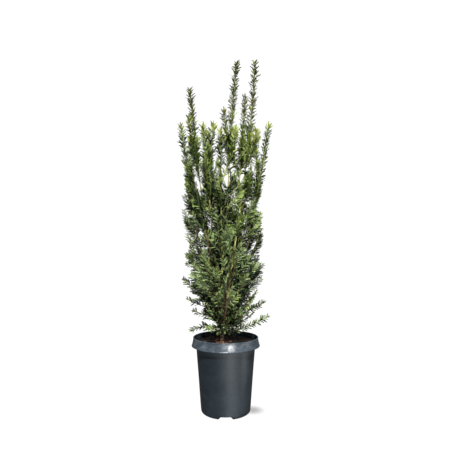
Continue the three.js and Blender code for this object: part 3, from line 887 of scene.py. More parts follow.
# A needle's angle to the shoot and its stray are in degrees, the tilt of its blade in radians
TALL_ROWS = {"step": 1.05, "angle": 50, "stray": 11, "tilt": 0.9}
FLAT_ROWS = {"step": 1.4, "angle": 54, "stray": 9, "tilt": 0.5}
TIP_ROWS = {"angle": 36, "stretch": 22, "shorter": 0.72}  # on the last stretch of a shoot
ROOT_ROWS = {"bare": 6, "stretch": 16, "shorter": 0.55}
SHORT_SHOOTS = {"below": 60, "bare": 3, "least": 35, "shorter": 0.8}
LIFTS = {"main": 0.5, "inner": 0.45, "side": 0.22, "twig": 0.22}  # how unevenly rows spread
TALL_NEEDLES = {"least": 0.62, "more": 0.66, "clump": 12.5, "wider": 1.43}
LOW_NEEDLES = {"length": 0.92, "width": 1.25}
TALL_TONES = {"low": 1.1, "high": 0.5, "tip": 0.5, "trunk": 0.7, "stray": 1.35}
AGEING = {"from": 770, "over": 60, "stray": 25}  # heights above which tall shoots turn olive
OLIVE_SHARES = {"trunk": 0.6, "others": 0.3, "moss": 0.85}
SPRAY_TONES = {"tone": 1.9, "above": 0.3, "from": 560, "over": 180, "stray": 0.7, "tip": 0.8}
# Inner shoots are painted darker, as painted shade inside the crown.
INNER_SHADE = 0.3
# Low sprays are painted darker, as painted shade under the crown.
LOW_SHADE = 2.0
NEEDLE_STRAY = 1.5
COOL = {"below": 650, "over": 160, "most": 0.9}  # heights at which needles turn cooler
WARM_PLACE = {"left": 10, "right": 80, "lowest": 470, "share": 0.2}  # where fewer of them do
IN_FRONT = 20  # sprays whose depth is less than this are seen from the front
TONE_PLACES = [  # left, right, lowest and highest of places in front, and how much lighter; partly the sprays' own lighter and darker growth and partly painted light and shade
    (10, 80, 490, 590, 1.2),
    (70, 130, 200, 620, -1.4),
    (-140, -90, 300, 620, -0.5),
    (-100, 0, 490, 610, -0.7),
    (-110, -40, 240, 430, 0.7),
    (-60, 60, 190, 285, 1.7),
    (-85, -34, 270, 440, 0.4),
    (60, 130, 350, 450, -0.9),
    (-60, 60, 355, 430, 0.45),
    (-10, 80, 190, 330, 0.4),
    (-40, 5, 400, 500, 0.3),
    (-40, 10, 650, 745, -1.0),
    (10, 60, 590, 700, -0.5),
]
LIT_FOOT = {"left": -50, "right": -15, "highest": 240, "lighter": 1.6}  # before the trunk alone
NEEDLE_RINGS = [(0.1, 0.42), (0.42, 1.0), (0.84, 0.8)]  # share of the length, share of the width
STEMS_IN_SIGHT = [  # name, lowest, highest, half the width that is kept free
    ("trunk", 240, 478, 2.4),
    ("stem_left", 392, 500, 2.2),
]
YOUNG = {"lowest": 742, "highest": 840, "stretch": 45, "lighter": 3.4}  # tips that are still young
SHADE_BY_DEPTH = {"skin": 9, "full": 40, "darker": 1.8}  # needles deep in the crown are painted darker, as painted shade
NEEDLE_SEED = 40
BATCH = 2000  # needles that are measured at once
CLEAR_OF_LIMBS = {"from": 0.4, "room": 0.6}  # share of a needle from which it keeps off limbs
CLEAR_OF_POT = {"rim": 203.5, "inside": 84, "outside": 103, "soil": 190}
Needles = namedtuple("Needles", "roots ways normals bends sizes along near_tip")


def needle_rows(shoot, random):
    """The needles on one shoot: a spiral on a tall shoot, two flat rows on the others."""
    length = shoot.curve.length()
    radial = shoot.kind == "tall"
    rule = TALL_ROWS if radial else FLAT_ROWS
    bare = SHORT_SHOOTS["bare"] if length < SHORT_SHOOTS["below"] else ROOT_ROWS["bare"]
    count = int((length - bare) / rule["step"])
    if count < 4:
        return None
    along = (bare + (np.arange(count) + random.uniform(-0.3, 0.3, count)) * rule["step"]) / length
    along = np.clip(along, 0.01, 0.995)
    t = shoot.curve.parameter(along)
    roots, ahead = shoot.curve.at(t), shoot.curve.tangent(t)
    roll = random.normal(0, 0.35)
    facing = unit(shoot.facing - ahead * (ahead @ shoot.facing)[:, None])
    beside = np.cross(ahead, facing)
    if radial:
        turn = np.arange(count) * GOLDEN_ANGLE + random.uniform(0, 6)
    else:
        lift = random.normal(0.3, LIFTS[shoot.kind], count)
        turn = np.where(np.arange(count) % 2, lift, math.pi - lift) + roll
    out = np.cos(turn)[:, None] * beside + np.sin(turn)[:, None] * facing
    run = along * length
    near_tip = np.clip((run - (length - TIP_ROWS["stretch"])) / TIP_ROWS["stretch"], 0, 1)
    stray = random.normal(0, rule["stray"], count)
    angle = np.radians(stray + lerp(rule["angle"], TIP_ROWS["angle"], near_tip**2))
    ways = ahead * np.cos(angle)[:, None] + out * np.sin(angle)[:, None]
    if radial:
        normals = ahead * np.sin(angle)[:, None] - out * np.cos(angle)[:, None]
    else:
        normals = unit(facing - ways * (facing * ways).sum(1)[:, None])
    tilt = random.normal(0, rule["tilt"], count)[:, None]
    normals = normals * np.cos(tilt) + np.cross(ways, normals) * np.sin(tilt)
    sizes = NEEDLE["length"] * np.clip(run / ROOT_ROWS["stretch"], ROOT_ROWS["shorter"], 1)
    sizes = sizes * lerp(1, TIP_ROWS["shorter"], near_tip) * random.uniform(0.82, 1.1, count)
    if radial:
        wave = np.cos(run / TALL_NEEDLES["clump"] * 2 * math.pi + random.uniform(0, 6))
        fullness = 0.5 + 0.5 * np.maximum(wave, near_tip)
        sizes *= TALL_NEEDLES["least"] + TALL_NEEDLES["more"] * fullness
    elif length < SHORT_SHOOTS["least"]:
        sizes *= SHORT_SHOOTS["shorter"]
    forwards, down = random.uniform(0.02, 0.14, count), random.uniform(0, 0.06, count)
    bends = ahead * forwards[:, None] - UP * down[:, None]
    return Needles(roots, ways, normals, bends, sizes, along, near_tip)


def depth_in_crown(points):
    """How deep points lie in the crown, from nothing at its surface to one."""
    away = np.hypot(points[:, 0] - CROWN["x"], points[:, 1])
    return np.clip((crown_radius(points[:, 2]) - SHADE_BY_DEPTH["skin"] - away) / SHADE_BY_DEPTH["full"], 0, 1)


def tone_of(shoot, random):
    """The tone that a spray is dealt, by where it grows."""
    x, y, z = shoot.line[len(shoot.line) // 2]
    rule = SPRAY_TONES
    tone = rule["tone"] + rule["above"] * clamp((z - rule["from"]) / rule["over"], 0, 1)
    tone += random.normal(0, rule["stray"])
    # Inner shoots are painted darker: painted shade inside the crown.
    if shoot.kind == "inner":
        tone -= INNER_SHADE
    # Sprays in these places in front are painted lighter and darker, partly for their own growth and
    # partly as painted light and shade.
    for left, right, low, high, lighter in TONE_PLACES:
        if left < x < right and low < z < high and y < IN_FRONT:
            tone += lighter
    if LIT_FOOT["left"] < x < LIT_FOOT["right"] and y < 0 and z < LIT_FOOT["highest"]:
        tone += LIT_FOOT["lighter"]
    return tone


def tones_of_tall(needles, on_trunk, random):
    """The tones of the needles on a tall shoot, before they are dealt, and how old each is."""
    heights = needles.roots[:, 2]
    old = heights + random.normal(0, AGEING["stray"], len(heights)) - AGEING["from"]
    old = np.clip(old / AGEING["over"], 0, 1)
    tones = lerp(TALL_TONES["low"], TALL_TONES["high"], old) + TALL_TONES["tip"] * needles.near_tip
    if on_trunk:
        tones = tones + TALL_TONES["trunk"] * (1 - old)
    return tones, old


def turn_olive(tones, old, olive_share, random):
    """Some of the old needles turn olive and more of them moss green."""
    draw = random.uniform(size=len(tones))
    turned = np.where(draw < OLIVE_SHARES["moss"] * old, MOSS, tones)
    turned = np.where(draw < olive_share * old, OLIVE, turned)
    return np.where(tones < FRESH, turned, tones)


def turn_cool(tones, place, random):
    """Low in the crown some of the needles are dealt the cooler tone of the same lightness."""
    x, y, z = place
    share = COOL["most"] * clamp((COOL["below"] - z) / COOL["over"], 0, 1)
    warm = WARM_PLACE
    if warm["left"] < x < warm["right"] and z > warm["lowest"] and y < IN_FRONT:
        share *= warm["share"]
    turned = (tones >= DEEP) & (tones <= FRESH) & (random.uniform(size=len(tones)) < share)
    return np.where(turned, tones + DUSK - DEEP, tones)


def needle_tones(mass, shoot, needles, random):
    """The tone of each needle on one shoot, as its place in the table."""
    tall = shoot.kind == "tall"
    top_of_trunk = mass.name == "top_of_trunk"
    if tall:
        on_trunk = top_of_trunk or shoot is on_limbs[0].shoots[-1]
        tones, old = tones_of_tall(needles, on_trunk, random)
    else:
        tones = tone_of(shoot, random)
        tones = tones + SPRAY_TONES["tip"] * needles.near_tip * random.uniform(0.3, 1.2)
        # Needles deep in the crown are painted darker: painted shade.
        tones = tones - SHADE_BY_DEPTH["darker"] * depth_in_crown(needles.roots)
        # Low sprays are painted darker: painted shade under the crown.
        if mass.name.startswith("low_spray"):
            tones = tones - LOW_SHADE
    lightest = FRESH
    if YOUNG["lowest"] < shoot.line[-1][2] < YOUNG["highest"]:
        lightest = TIP
        to_tip = (1 - needles.along) * shoot.curve.length()
        tones = tones + YOUNG["lighter"] * np.clip(1 - to_tip / YOUNG["stretch"], 0, 1)
    stray = random.normal(0, TALL_TONES["stray"] if tall else NEEDLE_STRAY, len(tones))
    tones = np.clip(np.round(tones + stray), 0, lightest)
    if tall:
        share = OLIVE_SHARES["trunk" if top_of_trunk else "others"]
        return turn_olive(tones, old, share, random).astype(int)
    return turn_cool(tones, shoot.line[LATE_POINT], random).astype(int)


def hides_stem(points):
    """Whether points lie before a stretch of stem that shows from the front."""
    x, z = from_front(points)
    hit = np.zeros(len(points), bool)
    for name, low, high, half in STEMS_IN_SIGHT:
        line = next(limb.wood for limb in limbs if limb.name == name).line(60)
        line_x, line_z = from_front(line)
        beside = np.abs(x - np.interp(z, line_z, line_x)) < half
        before = points[:, 1] < np.interp(z, line_z, line[:, 1]) + 2
        hit |= beside & before & (z > low) & (z < high)
    return hit


def clear_of_plant(roots, tips, own_limbs):
    """Whether needles stay off the limbs, the pot and the soil."""
    pot = CLEAR_OF_POT
    away = np.hypot(tips[:, 0], tips[:, 1])
    floor = np.where(away > pot["inside"], pot["rim"], pot["soil"])
    clear = ((away > pot["outside"]) | (tips[:, 2] > floor)) & (tips[:, 2] > pot["soil"])
    starts, ends, radii = own_limbs
    middles = lerp(roots, tips, CLEAR_OF_LIMBS["from"])
    for low in range(0, len(tips), BATCH):
        part = slice(low, low + BATCH)
        gaps = piece_gaps(middles[part, None], tips[part, None], starts[None], ends[None])
        clear[part] &= (gaps > radii + CLEAR_OF_LIMBS["room"]).all(1)
    return clear


def needle_bodies(roots, ways, normals, bends, sizes, widths):
    """Eleven points and eighteen faces for each needle: a flat blade with a ridge on top."""
    side = np.cross(ways, normals)
    points = [roots]
    for share, wide in NEEDLE_RINGS:
        centre = roots + ways * (sizes * share)[:, None] + bends * (sizes * share**2)[:, None]
        half = side * (widths * wide / 2)[:, None]
        ridge = centre + normals * (NEEDLE["thick"] * lerp(0.6, 1, wide))
        points += [centre - half, ridge, centre + half]
    points.append(roots + (ways + bends) * sizes[:, None])
    points = np.stack(points, 1)
    faces, under = [], []
    for k in range(3):
        a, b = 1 + k, 1 + (k + 1) % 3
        below = k == 2
        faces.append((0, b, a))
        under.append(below)
        for low in (0, 3):
            faces += [(low + a, low + b, low + b + 3), (low + a, low + b + 3, low + a + 3)]
            under += [below, below]
        faces.append((6 + a, 6 + b, 10))
        under.append(below)
    return points, np.array(faces), np.array(under)


def facing_out(points, faces):
    """The faces turned so that the first body's volume is positive."""
    a, b, c = (points[0][faces[:, i]] for i in range(3))
    return faces if (a * np.cross(b, c)).sum() > 0 else faces[:, ::-1]


def grow_needles(masses, seed, own_limbs):
    """Points, faces and material numbers of all needles on some masses."""
    random = np.random.default_rng(seed)
    rows = []
    for mass in masses:
        for shoot in mass.shoots:
            needles = needle_rows(shoot, random)
            if needles is None:
                continue
            tones = needle_tones(mass, shoot, needles, random)
            longer, wider = 1.0, TALL_NEEDLES["wider"] if shoot.kind == "tall" else 1.0
            if mass.name.startswith("low_spray"):
                longer, wider = LOW_NEEDLES["length"], LOW_NEEDLES["width"]
            rows.append((*needles[:4], needles.sizes * longer, np.full(len(tones), wider), tones))
    columns = (np.concatenate(column) for column in zip(*rows))
    roots, ways, normals, bends, sizes, wider, tones = columns
    tips = roots + (ways + bends) * sizes[:, None]
    keep = clear_of_plant(roots, tips, own_limbs) & ~in_sky_gap(tips, SKY_MARGIN["needles"])
    for share in np.linspace(0.1, 1.0, 8):
        keep &= ~hides_stem(lerp(roots, tips, share))
    widths = NEEDLE["width"] * wider * random.uniform(0.88, 1.1, len(sizes))
    kept = (values[keep] for values in (roots, ways, normals, bends, sizes, widths))
    points, faces, under = needle_bodies(*kept)
    faces = facing_out(points, faces)
    offsets = np.arange(len(points)) * points.shape[1]
    every_face = (faces[None] + offsets[:, None, None]).reshape(-1, 3)
    indices = (tones[keep][:, None] * 2 + under[None]).ravel()
    return points.reshape(-1, 3), every_face, indices


def limb_pieces(limbs):
    starts, ends, radii = [], [], []
    for limb in limbs:
        line = limb.wood.line(LIMB_PIECES)
        starts.append(line[:-1])
        ends.append(line[1:])
        radii.append(limb.radius_at((np.arange(LIMB_PIECES) + 0.5) / LIMB_PIECES))
    return np.concatenate(starts), np.concatenate(ends), np.concatenate(radii)


def tone_materials():
    materials = []
    for name, upper, lower, gloss in TONES:
        materials.append(plain_material(f"needle_{name}", upper, 0.4, gloss))
        materials.append(plain_material(f"needle_{name}_underside", lower, 0.6, 0.1))
    return materials


def nearest_mass(shoot, masses):
    """The mass that a limb's shoot lies in."""
    middle = shoot.line[len(shoot.line) // 2]
    return min(masses, key=lambda mass: np.linalg.norm(mass.shoots[0].line[LATE_POINT] - middle))


# Twigs
TWIG_TONES = [("young", (150, 156, 88)), ("green", (112, 118, 64)), ("woody", (104, 78, 56))]
TWIG_SEED = 3
TWIG_SIDES = {"thick": 7, "thin": 5}
TWIG_AGE = {"young_above": 700, "per": 200, "stray": 0.25, "tall": 0.9, "tip": 0.8, "tip_from": 0.8}
TWIG_RADII = {  # at the root and at the tip
    "tall": (1.9, 1.2),
    "main": (1.5, 0.75),
    "inner": (1.1, 0.65),
    "side": (1.1, 0.65),
    "twig": (0.65, 0.4),
}
TWIG_BUD = [(0.8, 1.75), (2.0, 1.9), (3.6, 1.2), (4.6, 0.15)]  # past the tip, share of its radius


def shoot_tube(shoot, sides, offset):
    """A twig with a bud at its end."""
    radii = lerp(*TWIG_RADII[shoot.kind], np.linspace(0, 1, len(shoot.line)))
    past, shares = np.array(TWIG_BUD).T
    bud = shoot.line[-1] + shoot.curve.tangent(1.0) * past[:, None]
    radii = np.concatenate([radii, radii[-1] * shares])
    return tube(np.concatenate([shoot.line, bud]), radii, sides, offset)


def grow_twigs(masses):
    points, faces, indices, offset = [], [], [], 0
    random = np.random.default_rng(TWIG_SEED)
    for mass in masses:
        for shoot in mass.shoots:
            sides = TWIG_SIDES["thick" if shoot.kind in ("tall", "main") else "thin"]
            made, quads = shoot_tube(shoot, sides, offset)
            heights = shoot.line[[0, -1], 2]
            share = (np.arange(len(quads)) // sides) / (len(quads) // sides)
            tone = (TWIG_AGE["young_above"] - lerp(*heights, share)) / TWIG_AGE["per"]
            tone += random.normal(0, TWIG_AGE["stray"])
            if shoot.kind == "tall":
                tone -= TWIG_AGE["tall"]
            tone = np.where(share > TWIG_AGE["tip_from"], tone - TWIG_AGE["tip"], tone)
            indices.append(np.clip(np.round(tone), 0, len(TWIG_TONES) - 1).astype(int))
            points.append(made)
            faces.append(quads)
            offset += len(made)
    return np.concatenate(points), np.concatenate(faces), np.concatenate(indices)


# Bark
FLAKES = {"raised": 0.07, "sunk": -0.03, "above": 0.12, "uneven": 0.06, "swell": 0.04}
SWELLING = {"more": 0.45, "fades": 7}  # where a stem leaves the trunk
TRUNK_SINK = 4.0  # how far the trunk's skin goes into the soil


def rough(place, scale, seed):
    return noise.noise(Vector(place) * scale + Vector((seed, -seed, 2 * seed)))


def limb_bark(limb, sides, step, seed):
    """A limb's skin, with flakes that run along it, and a swelling where it leaves its host."""
    along = np.linspace(0, 1, int(limb.length / step) + 1)
    centres = limb.wood.at(limb.wood.parameter(along))
    if limb.host is None:
        centres = np.concatenate([centres[:1] - UP * TRUNK_SINK, centres])
        along = np.concatenate([[0], along])
    turns = turns_round(sides)
    radii = limb.radius_at(along[:, None], turns[None]) * np.ones((len(along), sides))
    if limb.host:
        radii *= 1 + SWELLING["more"] * np.exp(-along * limb.length / SWELLING["fades"])[:, None]
    for i, run in enumerate(along * limb.length):
        swell = FLAKES["swell"] * rough((run / 30, seed, 0), 1.0, 1)
        for j, turn in enumerate(turns):
            spot = (math.cos(turn) * 1.3, math.sin(turn) * 1.3, run / 9)
            flake = rough(spot, 1.0, seed) + 0.5 * rough(spot, 2.7, seed + 5)
            edge = FLAKES["raised"] if flake > FLAKES["above"] else FLAKES["sunk"]
            radii[i, j] *= 1 + edge + FLAKES["uneven"] * flake + swell
    return tube(centres, radii, sides)


BARKS = [  # name, colour low, halfway and high, cracks, heights in metres between which it changes
    # The trunk's bark is partly its own pale tan and partly painted light: it is lighter so that it
    # still shows pale where the crown shades it.
    ("bark_trunk_lightened", (104, 84, 60), (222, 208, 154), (192, 196, 108), (140, 120, 84), (0.2, 0.36)),
    ("bark_stems", (136, 98, 72), (162, 122, 90), (150, 150, 92), (92, 60, 46), (0.20, 0.55)),
]
# Limbs that carry the lightened bark, partly painted light against the crown's shade.
LIMBS_WITH_LIGHTENED_BARK = ["trunk", "stem_front"]
BARK_SEED = 3
BARK_MESH = {"trunk": (26, 1.6), "stem": (16, 1.8)}  # facets round it, step along it


def bark_material(name, low, middle, high, dark, change):
    """Bark that goes from the low to the high colour with its height, with darker cracks."""
    paint = Painter(name, 0.8, 0.3)
    tall = paint.span(paint.height(), *change)
    base = paint.ramp(tall, [(0.0, low), (0.45, middle), (1.0, high)])
    cracks = paint.ramp(paint.noise(240, 6, 0.65, (1, 1, 0.18)), [(0.28, 0.0), (0.42, 1.0)])
    colour = paint.blend(cracks, dark, base)
    patches = paint.ramp(paint.noise(55, 3, 0.5, (1, 1, 0.4)), [(0.42, 0.0), (0.62, 0.45)])
    colour = paint.blend(paint.times(patches, tall), colour, middle)
    paint.paint(colour, paint.span(paint.noise(160, 3), 0.3, 0.7, 0.7, 0.92))
    paint.bump(cracks, 0.55, 0.0006)
    return paint.material


# Pot
# The collar's step and lip, as ways out and up from its lower and its upper edge
STEP = [(-1.6, 0), (-0.5, 0.35), (0, 1.5)]
LIP = [(0.55, -3.6), (1.15, -2.4), (0.95, -1.0), (0.1, -0.15), (-0.9, 0), (-1.8, -0.6)]


def pot_profile():
    """Radius and height of the pot's section, from the middle of its underside round its
    outside and over its rim to the middle of its inside."""
    foot_z = POT_HEIGHT - COLLAR["height"]
    channel, ring, body, collar = CHANNEL, FOOT_RING, BODY, COLLAR
    floor_top = channel["height"] + WALL
    rows = [(0.0, 0.0), (channel["inner"] - channel["slope"], 0.0)]
    rows += [(channel["inner"], channel["height"]), (channel["outer"], channel["height"])]
    rows += [(ring["inner"] - 0.6, 0.9), (ring["inner"] + 0.6, 0.0)]
    reach = body["foot"] - ring["outer"]
    for turn in np.radians(np.linspace(0, 80, 8)):  # the rounded foot
        height = ring["round"] * (1 - math.cos(turn)) * 1.1
        rows.append((ring["outer"] + reach * math.sin(turn), height))
    for share in np.linspace(0.03, 0.985, 26):
        rows.append((lerp(body["foot"], body["top"], share), lerp(ring["round"], foot_z, share)))
    rows += [(body["top"] + 0.3, foot_z - 0.9), (body["top"] + 1.4, foot_z)]
    rows += [(collar["foot"] + out, foot_z + up) for out, up in STEP]
    for share in np.linspace(0.1, 0.8, 9):
        hollow = 0.7 * math.sin(share * math.pi)
        radius = lerp(collar["foot"], collar["top"], share) - hollow
        rows.append((radius, foot_z + share * collar["height"]))
    rows += [(collar["top"] + out, POT_HEIGHT + up) for out, up in LIP]
    lean = (collar["foot"] - collar["top"]) / collar["height"]
    ledge = foot_z + WALL
    rows += [(collar["foot"] - WALL - WALL * lean, ledge), (body["top"] - WALL, ledge)]
    rows += [(lerp(body["foot"], body["top"], 0.01) - WALL, floor_top), (0.0, floor_top)]
    return np.array(rows)


def notch_height(turn):
    """How far the foot is cut away, at an angle round the pot."""
    period = 2 * math.pi / FOOT_NOTCHES["count"]
    turn = abs((turn + math.pi / 2 + period / 2) % period - period / 2)
    off, low, high = turn * FOOT_NOTCHES["radius"], FOOT_NOTCHES["foot"] / 2, FOOT_NOTCHES["top"] / 2
    return FOOT_NOTCHES["height"] * clamp((low - off) / (low - high), 0, 1)


WOBBLE = {"all": 0.42, "collar": 0.3, "body": 0.05}  # how far the shell is out of round
WITHIN = {"collar": 0.45, "body": 0.2}  # how much smaller it is for that


def pot_mesh():
    profile = pot_profile()
    rings = profile[1:-1]
    points = np.zeros((len(rings), POT_SEGMENTS, 3))
    for j, turn in enumerate(turns_round(POT_SEGMENTS)):
        way = Vector((math.cos(turn), math.sin(turn), 0))
        for i, (radius, height) in enumerate(rings):
            if radius > CHANNEL["outer"] - 1 and height < FOOT_RING["round"] + 1:
                height = max(height, notch_height(turn))
            part = "collar" if height > POT_HEIGHT - COLLAR["height"] + 1 else "body"
            wobble = WOBBLE["all"] * noise.noise(way * 2.6 + Vector((0, 0, height / 60)))
            wobble += WOBBLE[part] * noise.noise(way * 9 + Vector((0, 5, height / 14)))
            reach = radius + (wobble - WITHIN[part] if radius > CHANNEL["outer"] else 0)
            points[i, j] = (way.x * reach, way.y * reach, height)
    return capped_rings(points, (0, 0, profile[0][1]), (0, 0, profile[-1][1]))


def cut_drain_holes(pot):
    """Holes through the channel in the pot's underside."""
    rule, points, faces = DRAIN_HOLES, [], []
    for k in range(rule["count"]):
        heading = -math.pi / 2 + k / rule["count"] * 2 * math.pi
        ring = spiral_way(heading) * rule["circle"] + circle(rule["radius"], 0, rule["sides"])
        side = np.arange(rule["sides"]) + 2 * k * rule["sides"]
        points += [ring + UP * CHANNEL["height"] / 2, ring + UP * (CHANNEL["height"] + 3 * WALL)]
        faces += [side[::-1].tolist(), (side + rule["sides"]).tolist()]
        faces += (ring_quads(2, rule["sides"]) + side[0]).tolist()
    mesh = bpy.data.meshes.new("holes")
    mesh.from_pydata((np.concatenate(points) * METRES).tolist(), [], faces)
    cutter = put_in_scene("holes", mesh)
    cut = pot.modifiers.new("holes", "BOOLEAN")
    cut.operation, cut.solver, cut.object = "DIFFERENCE", "EXACT", cutter
    bpy.context.view_layer.update()
    done = bpy.data.meshes.new_from_object(pot.evaluated_get(bpy.context.evaluated_depsgraph_get()))
    pot.modifiers.clear()
    pot.data = done
    bpy.data.objects.remove(cutter)


PLASTIC = {
    "body": (22, 30, 36),
    "cloud": (31, 41, 47),
    "painted_light_under_collar": (50, 60, 67),
    # painted light: a lighter band just under the collar that offsets the shadow the collar casts
    # there
    "collar": (50, 59, 66),
    # painted light: the collar is lighter than the body for the light that its upward-facing flare
    # catches
    "scuff": (104, 112, 120),
    "speck": (70, 78, 84),
}


def plastic_material():
    paint = Painter("pot_plastic", 0.42, 0.4)
    clouds = paint.ramp(paint.noise(9, 5, 0.6), [(0.35, 0.0), (0.68, 1.0)])
    colour = paint.blend(clouds, PLASTIC["body"], PLASTIC["cloud"])
    # A lighter band just under the collar is painted light, which offsets the shadow that the collar
    # casts on the body.
    colour = paint.blend(paint.span(paint.height(), 0.158, 0.171), colour, PLASTIC["painted_light_under_collar"])
    on_collar = paint.span(paint.height(), 0.172, 0.177)
    # The collar is painted lighter than the body: painted light for the light that its upward-facing
    # flare catches.
    colour = paint.blend(on_collar, colour, PLASTIC["collar"])
    scuffs = paint.ramp(paint.noise(38, 7, 0.68, (1, 1, 1.8), 0.6), [(0.5, 0.0), (0.66, 1.0)])
    scuffs = paint.times(scuffs, paint.span(on_collar, 0, 1, 0.04, 0.5))
    colour = paint.blend(scuffs, colour, PLASTIC["scuff"])
    specks = paint.ramp(paint.noise(420, 2, 0.5), [(0.66, 0.0), (0.72, 0.35)])
    colour = paint.blend(specks, colour, PLASTIC["speck"])
    body_gloss = paint.span(paint.noise(26, 6, 0.65), 0.25, 0.75, 0.36, 0.46)
    collar_gloss = paint.span(paint.noise(34, 6, 0.65, (1, 1, 2.0)), 0.3, 0.7, 0.2, 0.4)
    paint.paint(colour, paint.blend(on_collar, body_gloss, collar_gloss))
    paint.bump(paint.noise(900, 2, 0.5), 0.12, 0.0004)
    paint.bump(paint.noise(60, 4, 0.6), 0.1, 0.0012)
    return paint.material


# Soil
def soil_height(x, y):
    away = math.hypot(x, y) / COLLAR["top"]
    lumps = 1.3 * noise.noise(Vector((x, y, 0)) / 14) + 0.9 * noise.noise(Vector((x, y, 9)) / 5)
    grains = 0.5 * noise.noise(Vector((x, y, 4)) / 2.2)
    mound = 1.5 * math.exp(-math.hypot(x - TRUNK_FOOT[0], y) / 16)
    return SOIL_TOP - 1 - SOIL_EDGE_DROP * away**2 + lumps + grains + mound


def soil_mesh():
    """A fine uneven top on the fill's own sides and underside."""
    rings, sides = 62, 150
    edge = COLLAR["foot"] - WALL - GAP - 4.2
    top = [circle(share * (edge - 0.6), 0, sides) for share in np.linspace(1 / rings, 1, rings)]
    top = np.array(top)
    for spot in top.reshape(-1, 3):
        spot[2] = soil_height(spot[0], spot[1])
    ledge = POT_HEIGHT - COLLAR["height"] + WALL + GAP
    floor = CHANNEL["height"] + WALL + GAP
    skirt = [(edge, ledge + 3), (BODY["top"] - WALL - GAP, ledge), (BODY["foot"] - WALL - GAP, floor)]
    skirt = [circle(radius, height, sides) for radius, height in skirt]
    return capped_rings(np.concatenate([top, skirt]), (0, 0, soil_height(0, 0)), (0, 0, floor), True)


SCRAPS = [  # name, count, seed, size, nearest, farthest, middle, lift, light and dark colour
    ("soil_crumbs", 900, 5, (3.2, 2.6, 2.0), 10, 84, (0, 0), 0.5, (38, 29, 23), (14, 11, 9)),
    ("bark_chips", 26, 8, (9, 5, 2.4), 8, 22, (-7, -6), 0.8, (124, 82, 62), (70, 44, 34)),
    ("dull_chips", 90, 9, (7, 4, 2.0), 14, 83, (0, 0), 0.7, (58, 45, 36), (28, 21, 17)),
]
BOX_CORNERS = np.array([(x, y, z) for x in (-1, 1) for y in (-1, 1) for z in (-1, 1)], float)
BOX_SIDES = [(0, 1, 3, 2), (4, 6, 7, 5), (0, 4, 5, 1), (2, 3, 7, 6), (0, 2, 6, 4), (1, 5, 7, 3)]


def scraps(count, seed, size, nearest, farthest, middle, lift):
    """Small uneven lumps that lie on the soil, as deformed boxes."""
    random = np.random.default_rng(seed)
    points, faces = [], []
    for _ in range(count):
        heading = random.uniform(0, 2 * math.pi)
        away = nearest + (farthest - nearest) * math.sqrt(random.uniform())
        place = np.array(middle) + [away * math.cos(heading), away * math.sin(heading)]
        if np.hypot(*place) > CLEAR_OF_POT["inside"]:
            continue
        half = np.array(size) / 2 * random.uniform(0.55, 1.25, 3)
        body = BOX_CORNERS * half * random.uniform(0.7, 1.15, (8, 3))
        turn, tip = random.uniform(0, 2 * math.pi), random.normal(0, 0.35)
        c, s = math.cos(turn), math.sin(turn)
        a, b = math.cos(tip), math.sin(tip)
        body = body @ np.array([[c, s, 0], [-s, c, 0], [0, 0, 1]])
        body = body @ np.array([[1, 0, 0], [0, a, b], [0, -b, a]])
        faces += [[8 * len(points) + i for i in side] for side in BOX_SIDES]
        points.append(body + [*place, soil_height(*place) + half[2] * lift])
    return np.concatenate(points), np.array(faces)


SOIL_TONES = [(0.3, (8, 6, 5)), (0.5, (17, 13, 11)), (0.68, (30, 23, 19)), (0.84, (62, 50, 42))]


def soil_material():
    paint = Painter("potting_soil", 0.95, 0.2)
    grain = paint.noise(260, 6, 0.7)
    colour = paint.ramp(grain, SOIL_TONES)
    patches = paint.ramp(paint.noise(45, 3), [(0.4, 0.0), (0.62, 0.5)])
    paint.paint(paint.blend(patches, colour, (16, 12, 9)))
    paint.bump(grain, 0.8, 0.0015)
    return paint.material


def chip_material(name, light, dark):
    paint = Painter(name, 0.85, 0.25)
    paint.paint(paint.ramp(paint.noise(150, 5, 0.65, (1, 0.35, 1)), [(0.32, dark), (0.62, light)]))
    paint.bump(paint.noise(500, 3), 0.5, 0.0005)
    return paint.material


TOPS_PARTED = -20  # tops whose tips lie to the left of this are joined in one piece
Leafy = namedtuple("Leafy", "name shoots")


def build_limbs():
    light, brown = (bark_material(*row) for row in BARKS)
    for i, limb in enumerate(limbs):
        facets, step = BARK_MESH["trunk" if limb.host is None else "stem"]
        points, faces = limb_bark(limb, facets, step, BARK_SEED + i)
        # The trunk and the front stem get the lightened bark: partly their own pale tan, partly
        # painted light.
        material = light if limb.name in LIMBS_WITH_LIGHTENED_BARK else brown
        make_piece("bark_of_" + limb.name, points, faces, [material], [limb.name], smooth=True)


def grouped_masses():
    """The masses that are joined in one piece of each kind, by the end of its name."""
    groups = {"low_sprays": lows, "lower_sides": sides[:10], "middle_sides": sides[10:18]}
    groups |= {"upper_sides": sides[18:], "left_tops": [], "right_tops": []}
    for mass in tops:
        tip = mass.shoots[0].line[-1]
        groups["left_tops" if tip[0] < TOPS_PARTED else "right_tops"].append(mass)
    return groups


def build_foliage():
    """Needles and twigs, with those of each limb joined to the masses that they lie in."""
    masses = [*tops, *lows, *sides]
    homes = {mass.name: Leafy(mass.name, list(mass.shoots)) for mass in masses}
    for mass in on_limbs:
        for shoot in mass.shoots:
            homes[nearest_mass(shoot, masses).name].shoots.append(shoot)
    own_limbs = limb_pieces(limbs)
    needle_looks = tone_materials()
    twig_looks = [plain_material("twig_" + name, colour, 0.6, 0.35) for name, colour in TWIG_TONES]
    for seed, (name, group) in enumerate(grouped_masses().items()):
        nodes = [mass.name for mass in group]
        leafy = [homes[node] for node in nodes]
        points, faces, looks = grow_needles(leafy, NEEDLE_SEED + seed, own_limbs)
        make_piece("needles_of_" + name, points, faces, needle_looks, nodes, looks)
        points, faces, looks = grow_twigs(leafy)
        make_piece("twigs_of_" + name, points, faces, twig_looks, nodes, looks, True)


